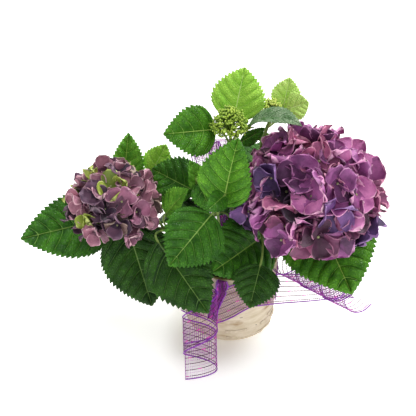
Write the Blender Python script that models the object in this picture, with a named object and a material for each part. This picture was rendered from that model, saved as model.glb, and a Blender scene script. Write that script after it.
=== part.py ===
"""Potted hydrangea in a bark-faced pot, tied with a wired mesh ribbon.

Metres, +Z up. The origin is the centre of the pot's flat underside. +X runs from the small
bloom towards the large one, and -Y is the side that the plant shows best.
"""

from math import cos, pi, radians, sin, sqrt, tan
import random

import bpy
import bmesh
from mathutils import Matrix, Vector
from mathutils.bvhtree import BVHTree

# Clearance kept between pieces that rest on one another.
GAP = 0.0003

# Pot: a bark-faced cachepot, nearly straight, with a rounded foot.
POT_HEIGHT = 0.115
POT_RIM_RADIUS = 0.0710
POT_FOOT_RADIUS = 0.0640
POT_BELLY_RADIUS = 0.0690
POT_WALL = 0.0045
POT_FLOOR = 0.006
POT_STEPS = 40

# Compost fills the pot to just under the rim.
SOIL_DROP = 0.010
SOIL_TOP = POT_HEIGHT - SOIL_DROP

# Shoots: (foot x, y), bend point, tip, radius at the foot, share that is bare cane.
# Each bare cane ends where it enters its foliage, and the leafy stem goes on along the same curve.
SHOOTS = {
    "left": ((-0.022, -0.006), (-0.055, -0.008, 0.175), (-0.160, -0.012, 0.160), 0.0036, 0.30),
    "right": ((0.020, -0.004), (0.035, -0.010, 0.200), (0.106, -0.030, 0.182), 0.0042, 0.30),
    "centre": ((0.000, 0.006), (0.004, 0.016, 0.210), (-0.003, 0.002, 0.300), 0.0038, 0.25),
    "front": ((-0.010, -0.018), (-0.016, -0.040, 0.160), (-0.021, -0.040, 0.222), 0.0032, 0.25),
    "middle": ((-0.026, 0.012), (-0.030, 0.010, 0.180), (-0.048, -0.010, 0.232), 0.0032, 0.25),
    "tall": ((0.016, 0.018), (0.022, 0.040, 0.200), (0.056, 0.060, 0.305), 0.0034, 0.25),
    "back_left": ((-0.018, 0.030), (-0.035, 0.060, 0.170), (-0.085, 0.095, 0.205), 0.0034, 0.25),
    "back_right": ((0.028, 0.022), (0.045, 0.045, 0.165), (0.105, 0.075, 0.170), 0.0036, 0.25),
}

# Leaf proportions that all leaves share.
LEAF_THICKNESS = 0.012
PETIOLE_RADIUS = 0.0016
BLADE_STATIONS = (0.0, 0.07, 0.24, 0.46, 0.70, 0.90, 1.0)
SHOULDER = 0.60
POINT = 0.95
PEAK = (SHOULDER / (SHOULDER + POINT)) ** SHOULDER * (POINT / (SHOULDER + POINT)) ** POINT
CLEARANCE = 0.0022

# Leaves that were set by eye. Each is: shoot, place along it, blade's base, blade's tip, width,
# roll about the midrib, fold of the two halves, arch of the midrib (degrees).
SET_LEAVES = {
    "far_left": ("left", 0.90, (-0.183, 0.062, 0.138), (-0.304, -0.015, 0.147), 0.099, -59, 10, 15),
    "left_skirt": ("left", 0.86, (-0.150, -0.010, 0.172), (-0.113, -0.070, 0.068), 0.103, 20, 8, 20),
    "left_sail": ("left", 0.86, (-0.165, 0.066, 0.182), (-0.151, 0.085, 0.270), 0.060, 60, 22, 10),
    "front_skirt": ("left", 0.55, (-0.102, -0.055, 0.169), (-0.032, -0.135, 0.108), 0.091, 31, 8, 20),
    "left_strip": ("left", 0.60, (-0.092, -0.022, 0.193), (-0.059, -0.030, 0.237), 0.043, 43, 20, 10),
    "shield": ("front", 0.85, (-0.028, -0.060, 0.215), (-0.084, -0.110, 0.166), 0.084, -41, 8, 15),
    "crest": ("front", 0.97, (-0.013, -0.066, 0.233), (0.019, -0.032, 0.313), 0.080, 37, 25, 20),
    "young": ("front", 0.99, (-0.012, -0.070, 0.249), (-0.035, -0.105, 0.246), 0.028, -46, 10, 20),
    "lower_front": ("right", 0.40, (0.038, -0.079, 0.146), (0.022, -0.125, 0.109), 0.064, -11, 8, 25),
    "right_front": ("right", 0.45, (0.050, 0.000, 0.144), (-0.022, -0.104, 0.156), 0.098, -44, 8, 20),
    "under_bloom": ("back_right", 0.85, (0.126, 0.030, 0.162), (0.164, -0.105, 0.131), 0.140, 21, 9, 20),
    "top": ("centre", 0.90, (0.002, 0.036, 0.308), (0.018, 0.070, 0.374), 0.076, 20, 8, 10),
    "top_left": ("centre", 0.90, (-0.024, 0.012, 0.306), (-0.091, -0.025, 0.315), 0.069, -66, 10, 15),
    "top_right": ("centre", 0.92, (0.021, 0.010, 0.310), (0.089, -0.020, 0.324), 0.054, 4, 12, 76),
    "top_spur": ("centre", 0.82, (0.010, 0.000, 0.292), (0.044, 0.012, 0.308), 0.029, 106, 10, 10),
    "bright_spur": ("tall", 0.82, (0.064, 0.060, 0.255), (0.040, 0.066, 0.280), 0.023, -66, 10, 10),
    "pale_upright": ("tall", 0.93, (0.075, 0.078, 0.310), (0.084, 0.093, 0.352), 0.045, 26, 16, 10),
    "pale_side": ("tall", 0.90, (0.079, 0.060, 0.317), (0.109, 0.060, 0.326), 0.042, 62, 12, 15),
    "dark_left": ("middle", 0.86, (-0.051, 0.002, 0.216), (-0.115, 0.030, 0.240), 0.074, -53, 10, 10),
    "folded": ("middle", 0.95, (-0.044, -0.010, 0.221), (-0.058, -0.005, 0.268), 0.035, -31, 20, 10),
    "inner_dark": ("middle", 0.99, (-0.045, -0.040, 0.251), (-0.028, -0.070, 0.224), 0.034, 27, 10, 20),
    "lime_left": ("back_left", 0.90, (-0.120, 0.078, 0.205), (-0.096, 0.092, 0.248), 0.045, 48, 5, 5),
}

# Leaf pairs that follow the rule of growth, for the sides that the set leaves don't fill:
# shoot, places of the pairs along it, heading of the first pair. Pairs stand crosswise.
GROWN_PAIRS = {
    "back_left": ((0.36, 0.56, 0.76, 0.93), 110),
    "back_right": ((0.36, 0.56, 0.76, 0.95), 60),
    "tall": ((0.34, 0.50, 0.66, 0.80), 40),
    "middle": ((0.34, 0.50, 0.66), 130),
    "centre": ((0.30, 0.44, 0.58, 0.74), 95),
    "left": ((0.40, 0.66, 0.95), 60),
    "right": ((0.36, 0.52, 0.78), 70),
}
SKYLINE = (
    (-0.21, 0.246), (-0.13, 0.256), (-0.10, 0.276), (-0.07, 0.260), (-0.012, 0.262),
    (0.012, 0.288), (0.05, 0.296), (0.20, 0.296), (0.24, 0.270),
)
FALLBACKS = [
    (share, swing, lift)
    for share in (1.0, 0.85, 0.7, 0.55)
    for swing in (0, 25, -25, 50, -50)
    for lift in (0, 16, -16, 32, -32)
]
GROWN_BLADE = 0.118
GROWN_SHRINK = 0.80
GROWN_PROPORTION = 0.72
GROWN_PETIOLE = 0.034

# Blooms: shoot that carries it, centre, radii across and up, florets, floret radius, share of
# the globe covered.
BLOOMS = {
    "bloom_large": ("right", (0.103, -0.040, 0.231), (0.091, 0.085), 46, 0.0225, 0.74),
    "bloom_small": ("left", (-0.164, -0.020, 0.201), (0.057, 0.061), 34, 0.0155, 0.68),
}
# Bud heads: shoot, centre of the dome, radius across, height, buds, bud radius.
BUD_HEADS = {
    "buds_centre": ("centre", (-0.004, 0.000, 0.320), 0.023, 0.025, 30, 0.0042),
    "buds_tall": ("tall", (0.056, 0.060, 0.324), 0.012, 0.010, 10, 0.0038),
}

# Ribbon: wired mesh, laid as thin solid strips.
RIBBON_WIDTH = 0.050
RIBBON_THICKNESS = 0.0010

UP = Vector((0, 0, 1))
rng = random.Random(27)


# ---------------------------------------------------------------- objects and materials

for old in list(bpy.data.objects):
    bpy.data.objects.remove(old, do_unlink=True)


def finish_of(name, colour, roughness):
    """The material of one kind of piece."""
    found = bpy.data.materials.get(name)
    if found:
        return found
    material = bpy.data.materials.new(name)
    material.use_nodes = True
    shader = material.node_tree.nodes["Principled BSDF"]
    shader.inputs["Base Color"].default_value = (*colour, 1.0)
    shader.inputs["Roughness"].default_value = roughness
    material.diffuse_color = (*colour, 1.0)
    return material


BARK = finish_of("bark", (0.72, 0.63, 0.48), 0.85)
COMPOST = finish_of("compost", (0.05, 0.035, 0.025), 0.95)
CANE = finish_of("cane", (0.28, 0.34, 0.12), 0.7)
LEAF = finish_of("leaf", (0.07, 0.22, 0.035), 0.5)
SEPAL = finish_of("sepal", (0.32, 0.13, 0.33), 0.6)
BUD = finish_of("bud", (0.38, 0.52, 0.12), 0.6)
MESH = finish_of("mesh_ribbon", (0.36, 0.10, 0.55), 0.5)


def outward(points, faces):
    """The faces of a closed shape, turned to face out."""
    volume = 0.0
    for face in faces:
        for b, c in zip(face[1:], face[2:]):
            volume += points[face[0]].dot(points[b].cross(points[c]))
    return faces if volume > 0 else [tuple(reversed(face)) for face in faces]


def place(name, points, faces, material):
    """A mesh object from points and faces, with its material."""
    faces = outward(points, faces)
    mesh = bpy.data.meshes.new(name)
    mesh.from_pydata([tuple(p) for p in points], [], faces)
    mesh.materials.append(material)
    mesh.validate()
    piece = bpy.data.objects.new(name, mesh)
    bpy.context.scene.collection.objects.link(piece)
    return piece


def turned(name, profile, steps, material):
    """A solid turned about Z from an (r, z) outline that starts and ends on the axis."""
    shape = bmesh.new()
    rings = []
    for r, z in profile:
        if r < 1e-9:
            rings.append([shape.verts.new((0, 0, z))])
            continue
        ring = [shape.verts.new((r * cos(a), r * sin(a), z)) for a in turns(steps)]
        rings.append(ring)
    for low, high in zip(rings, rings[1:]):
        for i in range(steps):
            j = (i + 1) % steps
            corners = [low[i % len(low)], low[j % len(low)], high[j % len(high)], high[i % len(high)]]
            shape.faces.new(list(dict.fromkeys(corners)))
    bmesh.ops.recalc_face_normals(shape, faces=shape.faces)
    mesh = bpy.data.meshes.new(name)
    shape.to_mesh(mesh)
    shape.free()
    mesh.materials.append(material)
    mesh.shade_smooth()
    mesh.set_sharp_from_angle(angle=radians(35))
    piece = bpy.data.objects.new(name, mesh)
    bpy.context.scene.collection.objects.link(piece)
    return piece


def turns(steps):
    return [2 * pi * i / steps for i in range(steps)]


def fuse(name, shapes, material):
    """One closed body from overlapping closed shapes, by a Boolean union that is applied."""
    body = place(name, *shapes[0], material)
    others = bpy.data.collections.new(name + "_shapes")
    bpy.context.scene.collection.children.link(others)
    for i, (points, faces) in enumerate(shapes[1:]):
        extra = place(f"{name}_shape_{i}", points, faces, material)
        bpy.context.scene.collection.objects.unlink(extra)
        others.objects.link(extra)
    union = body.modifiers.new("union", "BOOLEAN")
    union.operation = "UNION"
    union.operand_type = "COLLECTION"
    union.collection = others
    union.solver = "MANIFOLD"
    graph = bpy.context.evaluated_depsgraph_get()
    fused = bpy.data.meshes.new_from_object(body.evaluated_get(graph))
    body.modifiers.clear()
    body.data = fused
    for extra in list(others.objects):
        bpy.data.objects.remove(extra, do_unlink=True)
    bpy.data.collections.remove(others)
    return body


# ---------------------------------------------------------------- shapes

def bend(start, middle, end, t):
    """A point on the smooth curve from start, pulled towards middle, to end."""
    return start * (1 - t) ** 2 + middle * (2 * t * (1 - t)) + end * t**2


def sided_tube(path, radii, sides, first=None, last=None):
    """A closed tube along a path. Its flat ends square up to the directions first and last."""
    points, faces = [], []
    side = None
    for i, (centre, radius) in enumerate(zip(path, radii)):
        ahead = path[min(i + 1, len(path) - 1)] - path[max(i - 1, 0)]
        if i == 0 and first is not None:
            ahead = first.copy()
        if i == len(path) - 1 and last is not None:
            ahead = last.copy()
        ahead.normalize()
        if side is None:
            side = ahead.orthogonal().normalized()
        side = (side - ahead * side.dot(ahead)).normalized()
        up = ahead.cross(side)
        for a in turns(sides):
            points.append(centre + (side * cos(a) + up * sin(a)) * radius)
    for i in range(len(path) - 1):
        for k in range(sides):
            a, b = i * sides + k, i * sides + (k + 1) % sides
            faces.append((a, b, b + sides, a + sides))
    faces.append(tuple(range(sides))[::-1])
    tail = (len(path) - 1) * sides
    faces.append(tuple(range(tail, tail + sides)))
    return points, faces


def sheet_solid(rows, thickness):
    """A closed thin solid from a grid of (point, outward direction) rows."""
    high = [[p + n * (thickness / 2) for p, n in row] for row in rows]
    low = [[p - n * (thickness / 2) for p, n in row] for row in rows]
    across, along = len(rows[0]), len(rows)
    points = [p for row in high for p in row] + [p for row in low for p in row]
    under = across * along
    faces = []
    for i in range(along - 1):
        for k in range(across - 1):
            a, b = i * across + k, i * across + k + 1
            c, d = b + across, a + across
            faces.append((a, d, c, b))
            faces.append((under + a, under + b, under + c, under + d))
    for i in range(along - 1):
        a, d = i * across, (i + 1) * across
        faces.append((a, under + a, under + d, d))
        b, c = a + across - 1, d + across - 1
        faces.append((b, c, under + c, under + b))
    for k in range(across - 1):
        faces.append((k, k + 1, under + k + 1, under + k))
        a = (along - 1) * across + k
        faces.append((a, under + a, under + a + 1, a + 1))
    return points, faces


def half_width(t):
    """Half-width of a leaf at t along its midrib, as a share of the greatest."""
    return max(t, 1e-6) ** SHOULDER * (1 - t) ** POINT / PEAK


def leaf_axes(base, tip, roll):
    """Midrib direction, the way to the left margin, and the way that the upper side faces."""
    along = (tip - base).normalized()
    across = UP.cross(along).normalized()
    face = along.cross(across)
    turn = Matrix.Rotation(radians(roll), 3, along)
    return along, turn @ across, turn @ face


def blade(base, tip, width, roll, fold, arch, thickness):
    """A leaf blade as a thin closed solid, folded along an arched midrib."""
    along, across, face = leaf_axes(base, tip, roll)
    length = (tip - base).length
    rise = length * tan(radians(arch) / 4) / 2
    rows = []
    for t in BLADE_STATIONS:
        rib = base + along * (length * t) + face * (rise * (1 - (2 * t - 1) ** 2))
        reach = width / 2 * half_width(t)
        reach = max(reach, PETIOLE_RADIUS * 0.8) if t < 0.5 else max(reach, thickness / 2)
        row = []
        for s in (-1, 0, 1):
            lift = abs(s) * reach * sin(radians(fold))
            row.append((rib + across * (s * reach * cos(radians(fold))) + face * lift, face))
        rows.append(row)
    return sheet_solid(rows, thickness)


def petiole(root, base, along, radius):
    """A leaf stalk from inside the stem to a little way under the blade's midrib."""
    length = (base - root).length
    elbow = base - along * (length * 0.45)
    path = [bend(root, elbow, base, t) for t in (0, 0.4, 0.75, 1)]
    path.append(base + along * 0.005)
    return sided_tube(path, [radius * 1.2] + [radius] * 3 + [radius * 0.7], 3)


def tree_of(shape):
    points, faces = shape
    return BVHTree.FromPolygons([tuple(p) for p in points], faces)


# ---------------------------------------------------------------- pot and compost

pot_profile = [
    (0, 0),
    (POT_FOOT_RADIUS, 0),
    (POT_FOOT_RADIUS + 0.0025, 0.0015),
    (POT_BELLY_RADIUS, 0.012),
    (POT_BELLY_RADIUS + 0.0008, 0.055),
    (POT_RIM_RADIUS, POT_HEIGHT - 0.001),
    (POT_RIM_RADIUS - 0.001, POT_HEIGHT),
    (POT_RIM_RADIUS - POT_WALL + 0.001, POT_HEIGHT),
    (POT_RIM_RADIUS - POT_WALL, POT_HEIGHT - 0.001),
    (POT_FOOT_RADIUS - POT_WALL + 0.002, POT_FLOOR + 0.006),
    (POT_FOOT_RADIUS - POT_WALL - 0.003, POT_FLOOR),
    (0, POT_FLOOR),
]
pot = turned("pot", pot_profile, POT_STEPS, BARK)


def pot_inside(z):
    """Inner radius of the pot at height z."""
    share = (z - POT_FLOOR - 0.006) / (POT_HEIGHT - 0.001 - POT_FLOOR - 0.006)
    foot = POT_FOOT_RADIUS - POT_WALL + 0.002
    return foot + (POT_RIM_RADIUS - POT_WALL - foot) * share


# The flat-sided turned walls lie inside their circles, so the compost keeps clear of them too.
WALL_SAG = POT_RIM_RADIUS * (1 - cos(pi / POT_STEPS))
soil_profile = [
    (0, POT_FLOOR + GAP),
    (pot_inside(0.014) - 0.006, POT_FLOOR + GAP),
    (pot_inside(0.014) - WALL_SAG - GAP, 0.014),
    (pot_inside(SOIL_TOP - 0.003) - WALL_SAG - GAP, SOIL_TOP - 0.003),
    (pot_inside(SOIL_TOP) - 0.006, SOIL_TOP),
    (0, SOIL_TOP),
]
soil = turned("soil", soil_profile, POT_STEPS, COMPOST)


# ---------------------------------------------------------------- canes and leafy stems

def shoot_point(name, t):
    """A point at t along a shoot, from its foot on the compost to its tip."""
    (x, y), elbow, tip, _, _ = SHOOTS[name]
    foot = Vector((x, y, SOIL_TOP + GAP))
    return bend(foot, Vector(elbow), Vector(tip), t)


def shoot_radius(name, t):
    return SHOOTS[name][3] * (1 - 0.45 * t)


def shoot_heading(name, t):
    return (shoot_point(name, t + 0.01) - shoot_point(name, t - 0.01)).normalized()


def shoot_tube(name, start, end, sides, steps):
    """A stretch of a shoot. Its foot on the compost is level, and its other ends are square."""
    spots = [start + (end - start) * i / steps for i in range(steps + 1)]
    path = [shoot_point(name, t) for t in spots]
    radii = [shoot_radius(name, t) for t in spots]
    first = UP if start == 0 else shoot_heading(name, start)
    return sided_tube(path, radii, sides, first, shoot_heading(name, end))


placed = []
for body in (pot, soil):
    corners = [v.co for v in body.data.vertices]
    placed.append(("pot", "pot", tree_of((corners, [tuple(f.vertices) for f in body.data.polygons]))))
stems = {}
for name, (_, _, _, _, bare) in SHOOTS.items():
    cane_shape = shoot_tube(name, 0, bare, 7, 3)
    cane = place("cane_" + name, *cane_shape, CANE)
    cane.data.shade_smooth()
    step = (shoot_point(name, bare + 0.01) - shoot_point(name, bare)).length / 0.01
    stems[name] = shoot_tube(name, bare + GAP / step, 1, 5, 6)
    placed.append((name, "stem", tree_of(cane_shape)))
    placed.append((name, "stem", tree_of(stems[name])))


# ---------------------------------------------------------------- blooms and bud heads

def globe_spots(count, share):
    """Evenly spread directions over the top share of a globe, as seeds lie in a seed head."""
    golden = pi * (3 - sqrt(5))
    for i in range(count):
        z = 1 - 2 * share * (i + 0.5) / count
        r = sqrt(1 - z * z)
        yield Vector((r * cos(golden * i), r * sin(golden * i), z))


def floret(root, centre, out, radius, spin):
    """A four-sepalled floret and its stalk: a cupped star, thin at its rim, over a thin neck."""
    side = out.orthogonal().normalized()
    up = out.cross(side)
    lead = (centre - root).normalized()
    first = (side - lead * side.dot(lead)).normalized()
    second = lead.cross(first)
    points = []
    for i, a in enumerate(turns(12)):
        notch = i % 3 == 0
        reach = radius * (0.60 if notch else 1.0)
        lift = radius * (0.12 if notch else 0.30)
        points.append(centre + (side * cos(a + spin) + up * sin(a + spin)) * reach + out * lift)
    points.append(centre + out * 0.0010)
    for spot, thick in ((centre - out * 0.0014, 0.0010), (root, 0.0008)):
        for a in turns(3):
            b = a + spin + pi / 3
            points.append(spot + (first * cos(b) + second * sin(b)) * thick)
    faces = [(i, (i + 1) % 12, 12) for i in range(12)]
    for k in range(3):
        low, after = 13 + k, 13 + (k + 1) % 3
        for i in range(4 * k, 4 * k + 4):
            faces.append(((i + 1) % 12, i, low))
        faces.append(((4 * k + 4) % 12, low, after))
        faces.append((after, low, low + 3, after + 3))
    faces.append((18, 17, 16))
    return points, faces


def ball(centre, size, steps):
    """A faceted ellipsoid."""
    shape = bmesh.new()
    bmesh.ops.create_icosphere(shape, subdivisions=steps, radius=1.0)
    points = [centre + Vector(v.co[i] * size[i] for i in range(3)) for v in shape.verts]
    faces = [tuple(v.index for v in face.verts) for face in shape.faces]
    shape.free()
    return points, faces


def bloom(name):
    """A mophead: florets on stalks that spread from the top of the flower stem."""
    shoot, centre, (across, tall), count, size, share = BLOOMS[name]
    centre = Vector(centre)
    ahead = shoot_heading(shoot, 1)
    start = shoot_point(shoot, 1) + ahead * GAP
    hub = centre - UP * (tall * 0.40)
    thick = shoot_radius(shoot, 1)
    stalk = [bend(start, start + ahead * 0.012, hub, t) for t in (0, 0.4, 0.7, 1)]
    shapes = [sided_tube(stalk, [thick] * 4, 6, ahead)]
    shapes.append(ball(hub, (0.009, 0.009, 0.009), 2))
    for out in globe_spots(count, share):
        reach = Vector((out.x * across, out.y * across, out.z * tall))
        spot = centre + reach * (1 + rng.uniform(-0.07, 0.05))
        lead = (spot - hub).normalized()
        root = hub + lead * 0.0075
        petal = size * rng.uniform(0.90, 1.08)
        shapes.append(floret(root, spot, out, petal, rng.uniform(0, pi / 2)))
    return shapes


def bud_shape(centre, radius):
    """A closed flower bud: a stubby double cone with five sides."""
    ring = [centre + Vector((cos(a), sin(a), 0)) * radius for a in turns(5)]
    points = ring + [centre + Vector((0, 0, radius)), centre - Vector((0, 0, radius))]
    faces = []
    for i in range(5):
        j = (i + 1) % 5
        faces.append((i, j, 5))
        faces.append((j, i, 6))
    return points, faces


def bud_head(name):
    """A flat dome of green buds on short stalks."""
    shoot, centre, across, height, count, size = BUD_HEADS[name]
    centre = Vector(centre)
    ahead = shoot_heading(shoot, 1)
    start = shoot_point(shoot, 1) + ahead * GAP
    hub = centre - UP * (height * 0.4)
    thick = shoot_radius(shoot, 1)
    stalk = [start, start.lerp(hub, 0.5), hub]
    shapes = [sided_tube(stalk, [thick, thick, thick * 1.4], 6, ahead)]
    golden = pi * (3 - sqrt(5))
    for i in range(count):
        share = sqrt((i + 0.5) / count)
        spot = centre + Vector((
            across * share * cos(golden * i),
            across * share * sin(golden * i),
            height * (1 - share * share) - size,
        ))
        shapes.append(sided_tube([hub - Vector((0, 0, 0.001)), spot], [0.0010, 0.0008], 3))
        shapes.append(bud_shape(spot, size))
    return shapes


for name in BLOOMS:
    shapes = bloom(name)
    fuse(name, shapes, SEPAL)
    placed += [(name, "bloom", tree_of(shape)) for shape in shapes]
for name in BUD_HEADS:
    shapes = bud_head(name)
    fuse(name, shapes, BUD)
    placed += [(name, "bloom", tree_of(shape)) for shape in shapes]


# ---------------------------------------------------------------- ribbon

def strip(path, rises, widths, thickness=RIBBON_THICKNESS):
    """A thin strip of ribbon along a path; rises gives the way across it at each point."""
    rows = []
    for i, (centre, rise, width) in enumerate(zip(path, rises, widths)):
        ahead = (path[min(i + 1, len(path) - 1)] - path[max(i - 1, 0)]).normalized()
        rise = (rise - ahead * rise.dot(ahead)).normalized()
        face = ahead.cross(rise)
        rows.append([(centre - rise * width / 2, face), (centre + rise * width / 2, face)])
    return sheet_solid(rows, thickness)


def smooth(points, steps):
    """Points of a smooth curve through the given ones."""
    found = []
    padded = [points[0] * 2 - points[1]] + points + [points[-1] * 2 - points[-2]]
    for a, b, c, d in zip(padded, padded[1:], padded[2:], padded[3:]):
        for i in range(steps):
            t = i / steps
            found.append(
                (b * 2 + (c - a) * t + (a * 2 - b * 5 + c * 4 - d) * t**2
                 + (b * 3 - a - c * 3 + d) * t**3) / 2
            )
    found.append(points[-1])
    return found


def coil(axis, radii, ends, turn, start, steps):
    """A ribbon coiled about a line, counted from its cut end.

    ends lists where its outer wire crosses the coil's sides, half a turn apart, along the axis.
    """
    low, high = axis
    span = (high - low).length
    ahead = (high - low) / span
    side = Vector((0, -1, 0))
    side = (side - ahead * side.dot(ahead)).normalized()
    up = ahead.cross(side)
    halves = len(ends) - 1
    rows = []
    for i in range(halves * steps + 1):
        half = i / steps
        a = start + turn * pi * half
        out = side * cos(a) + up * sin(a)
        k = min(int(half), halves - 1)
        wire = ends[k] + (ends[k + 1] - ends[k]) * (half - k)
        radius = radii[0] + (radii[1] - radii[0]) * half / halves
        top = max(min(wire + RIBBON_WIDTH, span), wire + 0.004)
        rows.append([
            (low + ahead * wire + out * radius, out),
            (low + ahead * top + out * radius, out),
        ])
    return sheet_solid(rows, RIBBON_THICKNESS)


# A ribbon is wound round the pot, and its two ends are pulled through a knot in front.
wrap_path = []
for i in range(25):
    a = radians(232 - 250 * i / 24)
    r = POT_RIM_RADIUS + RIBBON_THICKNESS
    wrap_path.append(Vector((r * cos(a), r * sin(a), 0.066 + 0.006 * sin(a))))
wrap = strip(wrap_path, [UP] * len(wrap_path), [RIBBON_WIDTH] * len(wrap_path))

# Right tail: it lies against the pot's front, falls to the right and coils at its end.
BAND_RADIUS = POT_RIM_RADIUS + RIBBON_THICKNESS + 0.0002
band_route = []
for heading, height in ((243, 0.0580), (252, 0.0645), (262, 0.0725), (271, 0.0795), (281, 0.0850),
                        (291, 0.0880), (301, 0.0880), (309, 0.0850)):
    a = radians(heading)
    band_route.append(Vector((BAND_RADIUS * cos(a), BAND_RADIUS * sin(a), height)))
band_route += [
    Vector((0.0680, -0.0370, 0.0730)),
    Vector((0.0900, -0.0200, 0.0610)),
    Vector((0.1150, -0.0060, 0.0510)),
    Vector((0.1380, 0.0020, 0.0465)),
    Vector((0.1570, 0.0040, 0.0480)),
    Vector((0.1720, 0.0000, 0.0560)),
    Vector((0.1800, -0.0080, 0.0640)),
]
band_path = smooth(band_route, 2)
band = strip(band_path, [UP] * len(band_path), [RIBBON_WIDTH] * len(band_path))
right_coil = coil(
    (Vector((0.2020, -0.0170, 0.0425)), Vector((0.0690, -0.0330, 0.1300))),
    (0.0264, 0.0236), (0.000, 0.0160, 0.0380, 0.066, 0.090), 1, radians(200), 7,
)

# Left tail: it hangs from the knot and coils down to the table.
left_coil = coil(
    (Vector((-0.0426, -0.1472, 0.0120)), Vector((-0.0450, -0.1024, 0.1000))),
    (0.0215, 0.0250), (-0.0069, 0.0069, 0.0290, 0.0612, 0.0900), -1, radians(270), 7,
)
KNOT_SIZE = (0.0085, 0.0064, 0.0090)
KNOT_SPOT = Vector((-0.0135, -0.0765, 0.1085))
column_route = [
    KNOT_SPOT - UP * (KNOT_SIZE[2] + GAP),
    Vector((-0.0140, -0.0765, 0.0930)),
    Vector((-0.0180, -0.0785, 0.0850)),
    Vector((-0.0215, -0.0880, 0.0770)),
    Vector((-0.0210, -0.1010, 0.0720)),
]
column = strip(column_route, [Vector((1, 0, 0))] * 5, [0.0105, 0.0125, 0.0135, 0.0135, 0.0120], 0.0060)

knot = ball(KNOT_SPOT, KNOT_SIZE, 2)

# A bow stands up behind the plant: two loops that are pinched together at the pot's back rim.
BOW_FOOT = Vector((-0.004, POT_RIM_RADIUS + 0.0088, 0.100))
BOW_LOOP = (
    (0.000, 0.000), (0.004, 0.030), (0.012, 0.070), (0.024, 0.108), (0.042, 0.132),
    (0.062, 0.128), (0.070, 0.100), (0.060, 0.066), (0.036, 0.030), (0.006, -0.002),
)


def bow_loop(lean):
    """One loop of the bow, gathered at its foot and leaning to one side."""
    tilt = Matrix.Rotation(radians(lean), 3, "Y")
    route = [BOW_FOOT + tilt @ Vector((0, back, rise)) for back, rise in BOW_LOOP]
    path = smooth(route, 2)
    last = len(path) - 1
    spread = [min(1, 4.5 * min(i, last - i) / last) for i in range(last + 1)]
    widths = [0.010 + (RIBBON_WIDTH - 0.014) * share for share in spread]
    return strip(path, [tilt @ Vector((1, 0, 0))] * len(path), widths)


loops = [bow_loop(-24), bow_loop(24)]
bow_knot = ball(BOW_FOOT, (0.0085, 0.0080, 0.0095), 2)

fuse("ribbon_tail_right", [band, right_coil], MESH)
fuse("ribbon_tail_left", [left_coil, column], MESH)
place("ribbon_wrap", *wrap, MESH)
place("ribbon_knot", *knot, MESH)
fuse("ribbon_bow", [bow_knot] + loops, MESH)
for shape in [wrap, band, right_coil, left_coil, column, knot, bow_knot] + loops:
    placed.append(("ribbon", "ribbon", tree_of(shape)))


# ---------------------------------------------------------------- leaves

def touches(shape, own, passes):
    """Whether a shape touches what has been placed, some kinds on its own shoot apart."""
    tree = tree_of(shape)
    return any(
        tree.overlap(other)
        for shoot, kind, other in placed
        if shoot != own or kind not in passes
    )


def settle(shoot, spot, base, tip, width, roll, fold, arch, tries):
    """Finds a pose near the one given in which the leaf touches nothing, or None."""
    root = shoot_point(shoot, spot)
    for turn, tilt in tries:
        heading = Matrix.Rotation(radians(turn), 3, "Z") @ (tip - base)
        level = UP.cross(heading).normalized()
        heading = Matrix.Rotation(radians(-tilt), 3, level) @ heading
        end = base + heading
        along, _, _ = leaf_axes(base, end, roll)
        fat = blade(base, end, width, roll, fold, arch, LEAF_THICKNESS * 0.1 + CLEARANCE)
        if touches(fat, shoot, ("stem", "petiole")):
            continue
        stalk = petiole(root, base, along, PETIOLE_RADIUS)
        if touches(stalk, shoot, ("stem", "petiole", "blade")):
            continue
        flat = blade(base, end, width, roll, fold, arch, LEAF_THICKNESS * heading.length)
        return flat, stalk
    return None


NUDGES = [(0, 0)] + [
    (turn * step, tilt * step)
    for step in (4, 8, 12, 17)
    for turn, tilt in ((0, 1), (0, -1), (1, 0), (-1, 0), (1, 1), (-1, 1), (1, -1), (-1, -1))
]
masses = {name: [stems[name]] for name in SHOOTS}


def skyline(x):
    """Height that the leaves at the back keep under, so that the front of the crown stays open."""
    for (x0, z0), (x1, z1) in zip(SKYLINE, SKYLINE[1:]):
        if x0 <= x < x1:
            return z0 + (z1 - z0) * (x - x0) / (x1 - x0)
    return 0.235


def out_of_crown(shape):
    """Whether a leaf would rise over the back of the crown or hang before its front."""
    for p in shape[0]:
        if p.z + 0.45 * p.y > skyline(p.x) or p.y < -0.055 or p.z < 0.030:
            return True
    return False


def add_leaf(shoot, spot, base, tip, width, roll, fold, arch, tries):
    """Adds a leaf to its shoot's mass where it fits, and says whether it did."""
    found = settle(shoot, spot, base, tip, width, roll, fold, arch, tries)
    if found is None:
        return False
    flat, stalk = found
    masses[shoot] += [stalk, flat]
    placed.append((shoot, "blade", tree_of(flat)))
    placed.append((shoot, "petiole", tree_of(stalk)))
    return True


def grow_leaf(shoot, spot, first):
    """A leaf of a pair by the rule of growth, shortened or turned until it fits."""
    root = shoot_point(shoot, spot)
    reach = GROWN_PETIOLE * (1.25 - 0.5 * spot)
    rise = radians(36 + 20 * spot)
    for share, swing, lift in FALLBACKS:
        heading = radians(first + swing + rng.uniform(-8, 8))
        out = Vector((cos(heading), sin(heading), 0))
        steep = rise + radians(lift / 2)
        base = root + out * (reach * cos(steep)) + UP * (reach * sin(steep))
        length = GROWN_BLADE * share * GROWN_SHRINK ** (spot / 0.45)
        pitch = radians(-14 + 30 * spot + lift)
        tip = base + out * (length * cos(pitch)) + UP * (length * sin(pitch))
        width = length * GROWN_PROPORTION
        roll = rng.uniform(-14, 14)
        if out_of_crown(blade(base, tip, width, roll, 8, 22, 0.001)):
            continue
        if add_leaf(shoot, spot, base, tip, width, roll, 8, 22, [(0, 0)]):
            return


for shoot, spot, base, tip, width, roll, fold, arch in SET_LEAVES.values():
    add_leaf(shoot, spot, Vector(base), Vector(tip), width, roll, fold, arch, NUDGES)

for shoot, (spots, first) in GROWN_PAIRS.items():
    for i, spot in enumerate(spots):
        for side in (0, 180):
            grow_leaf(shoot, spot, first + 90 * i + side)

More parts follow.
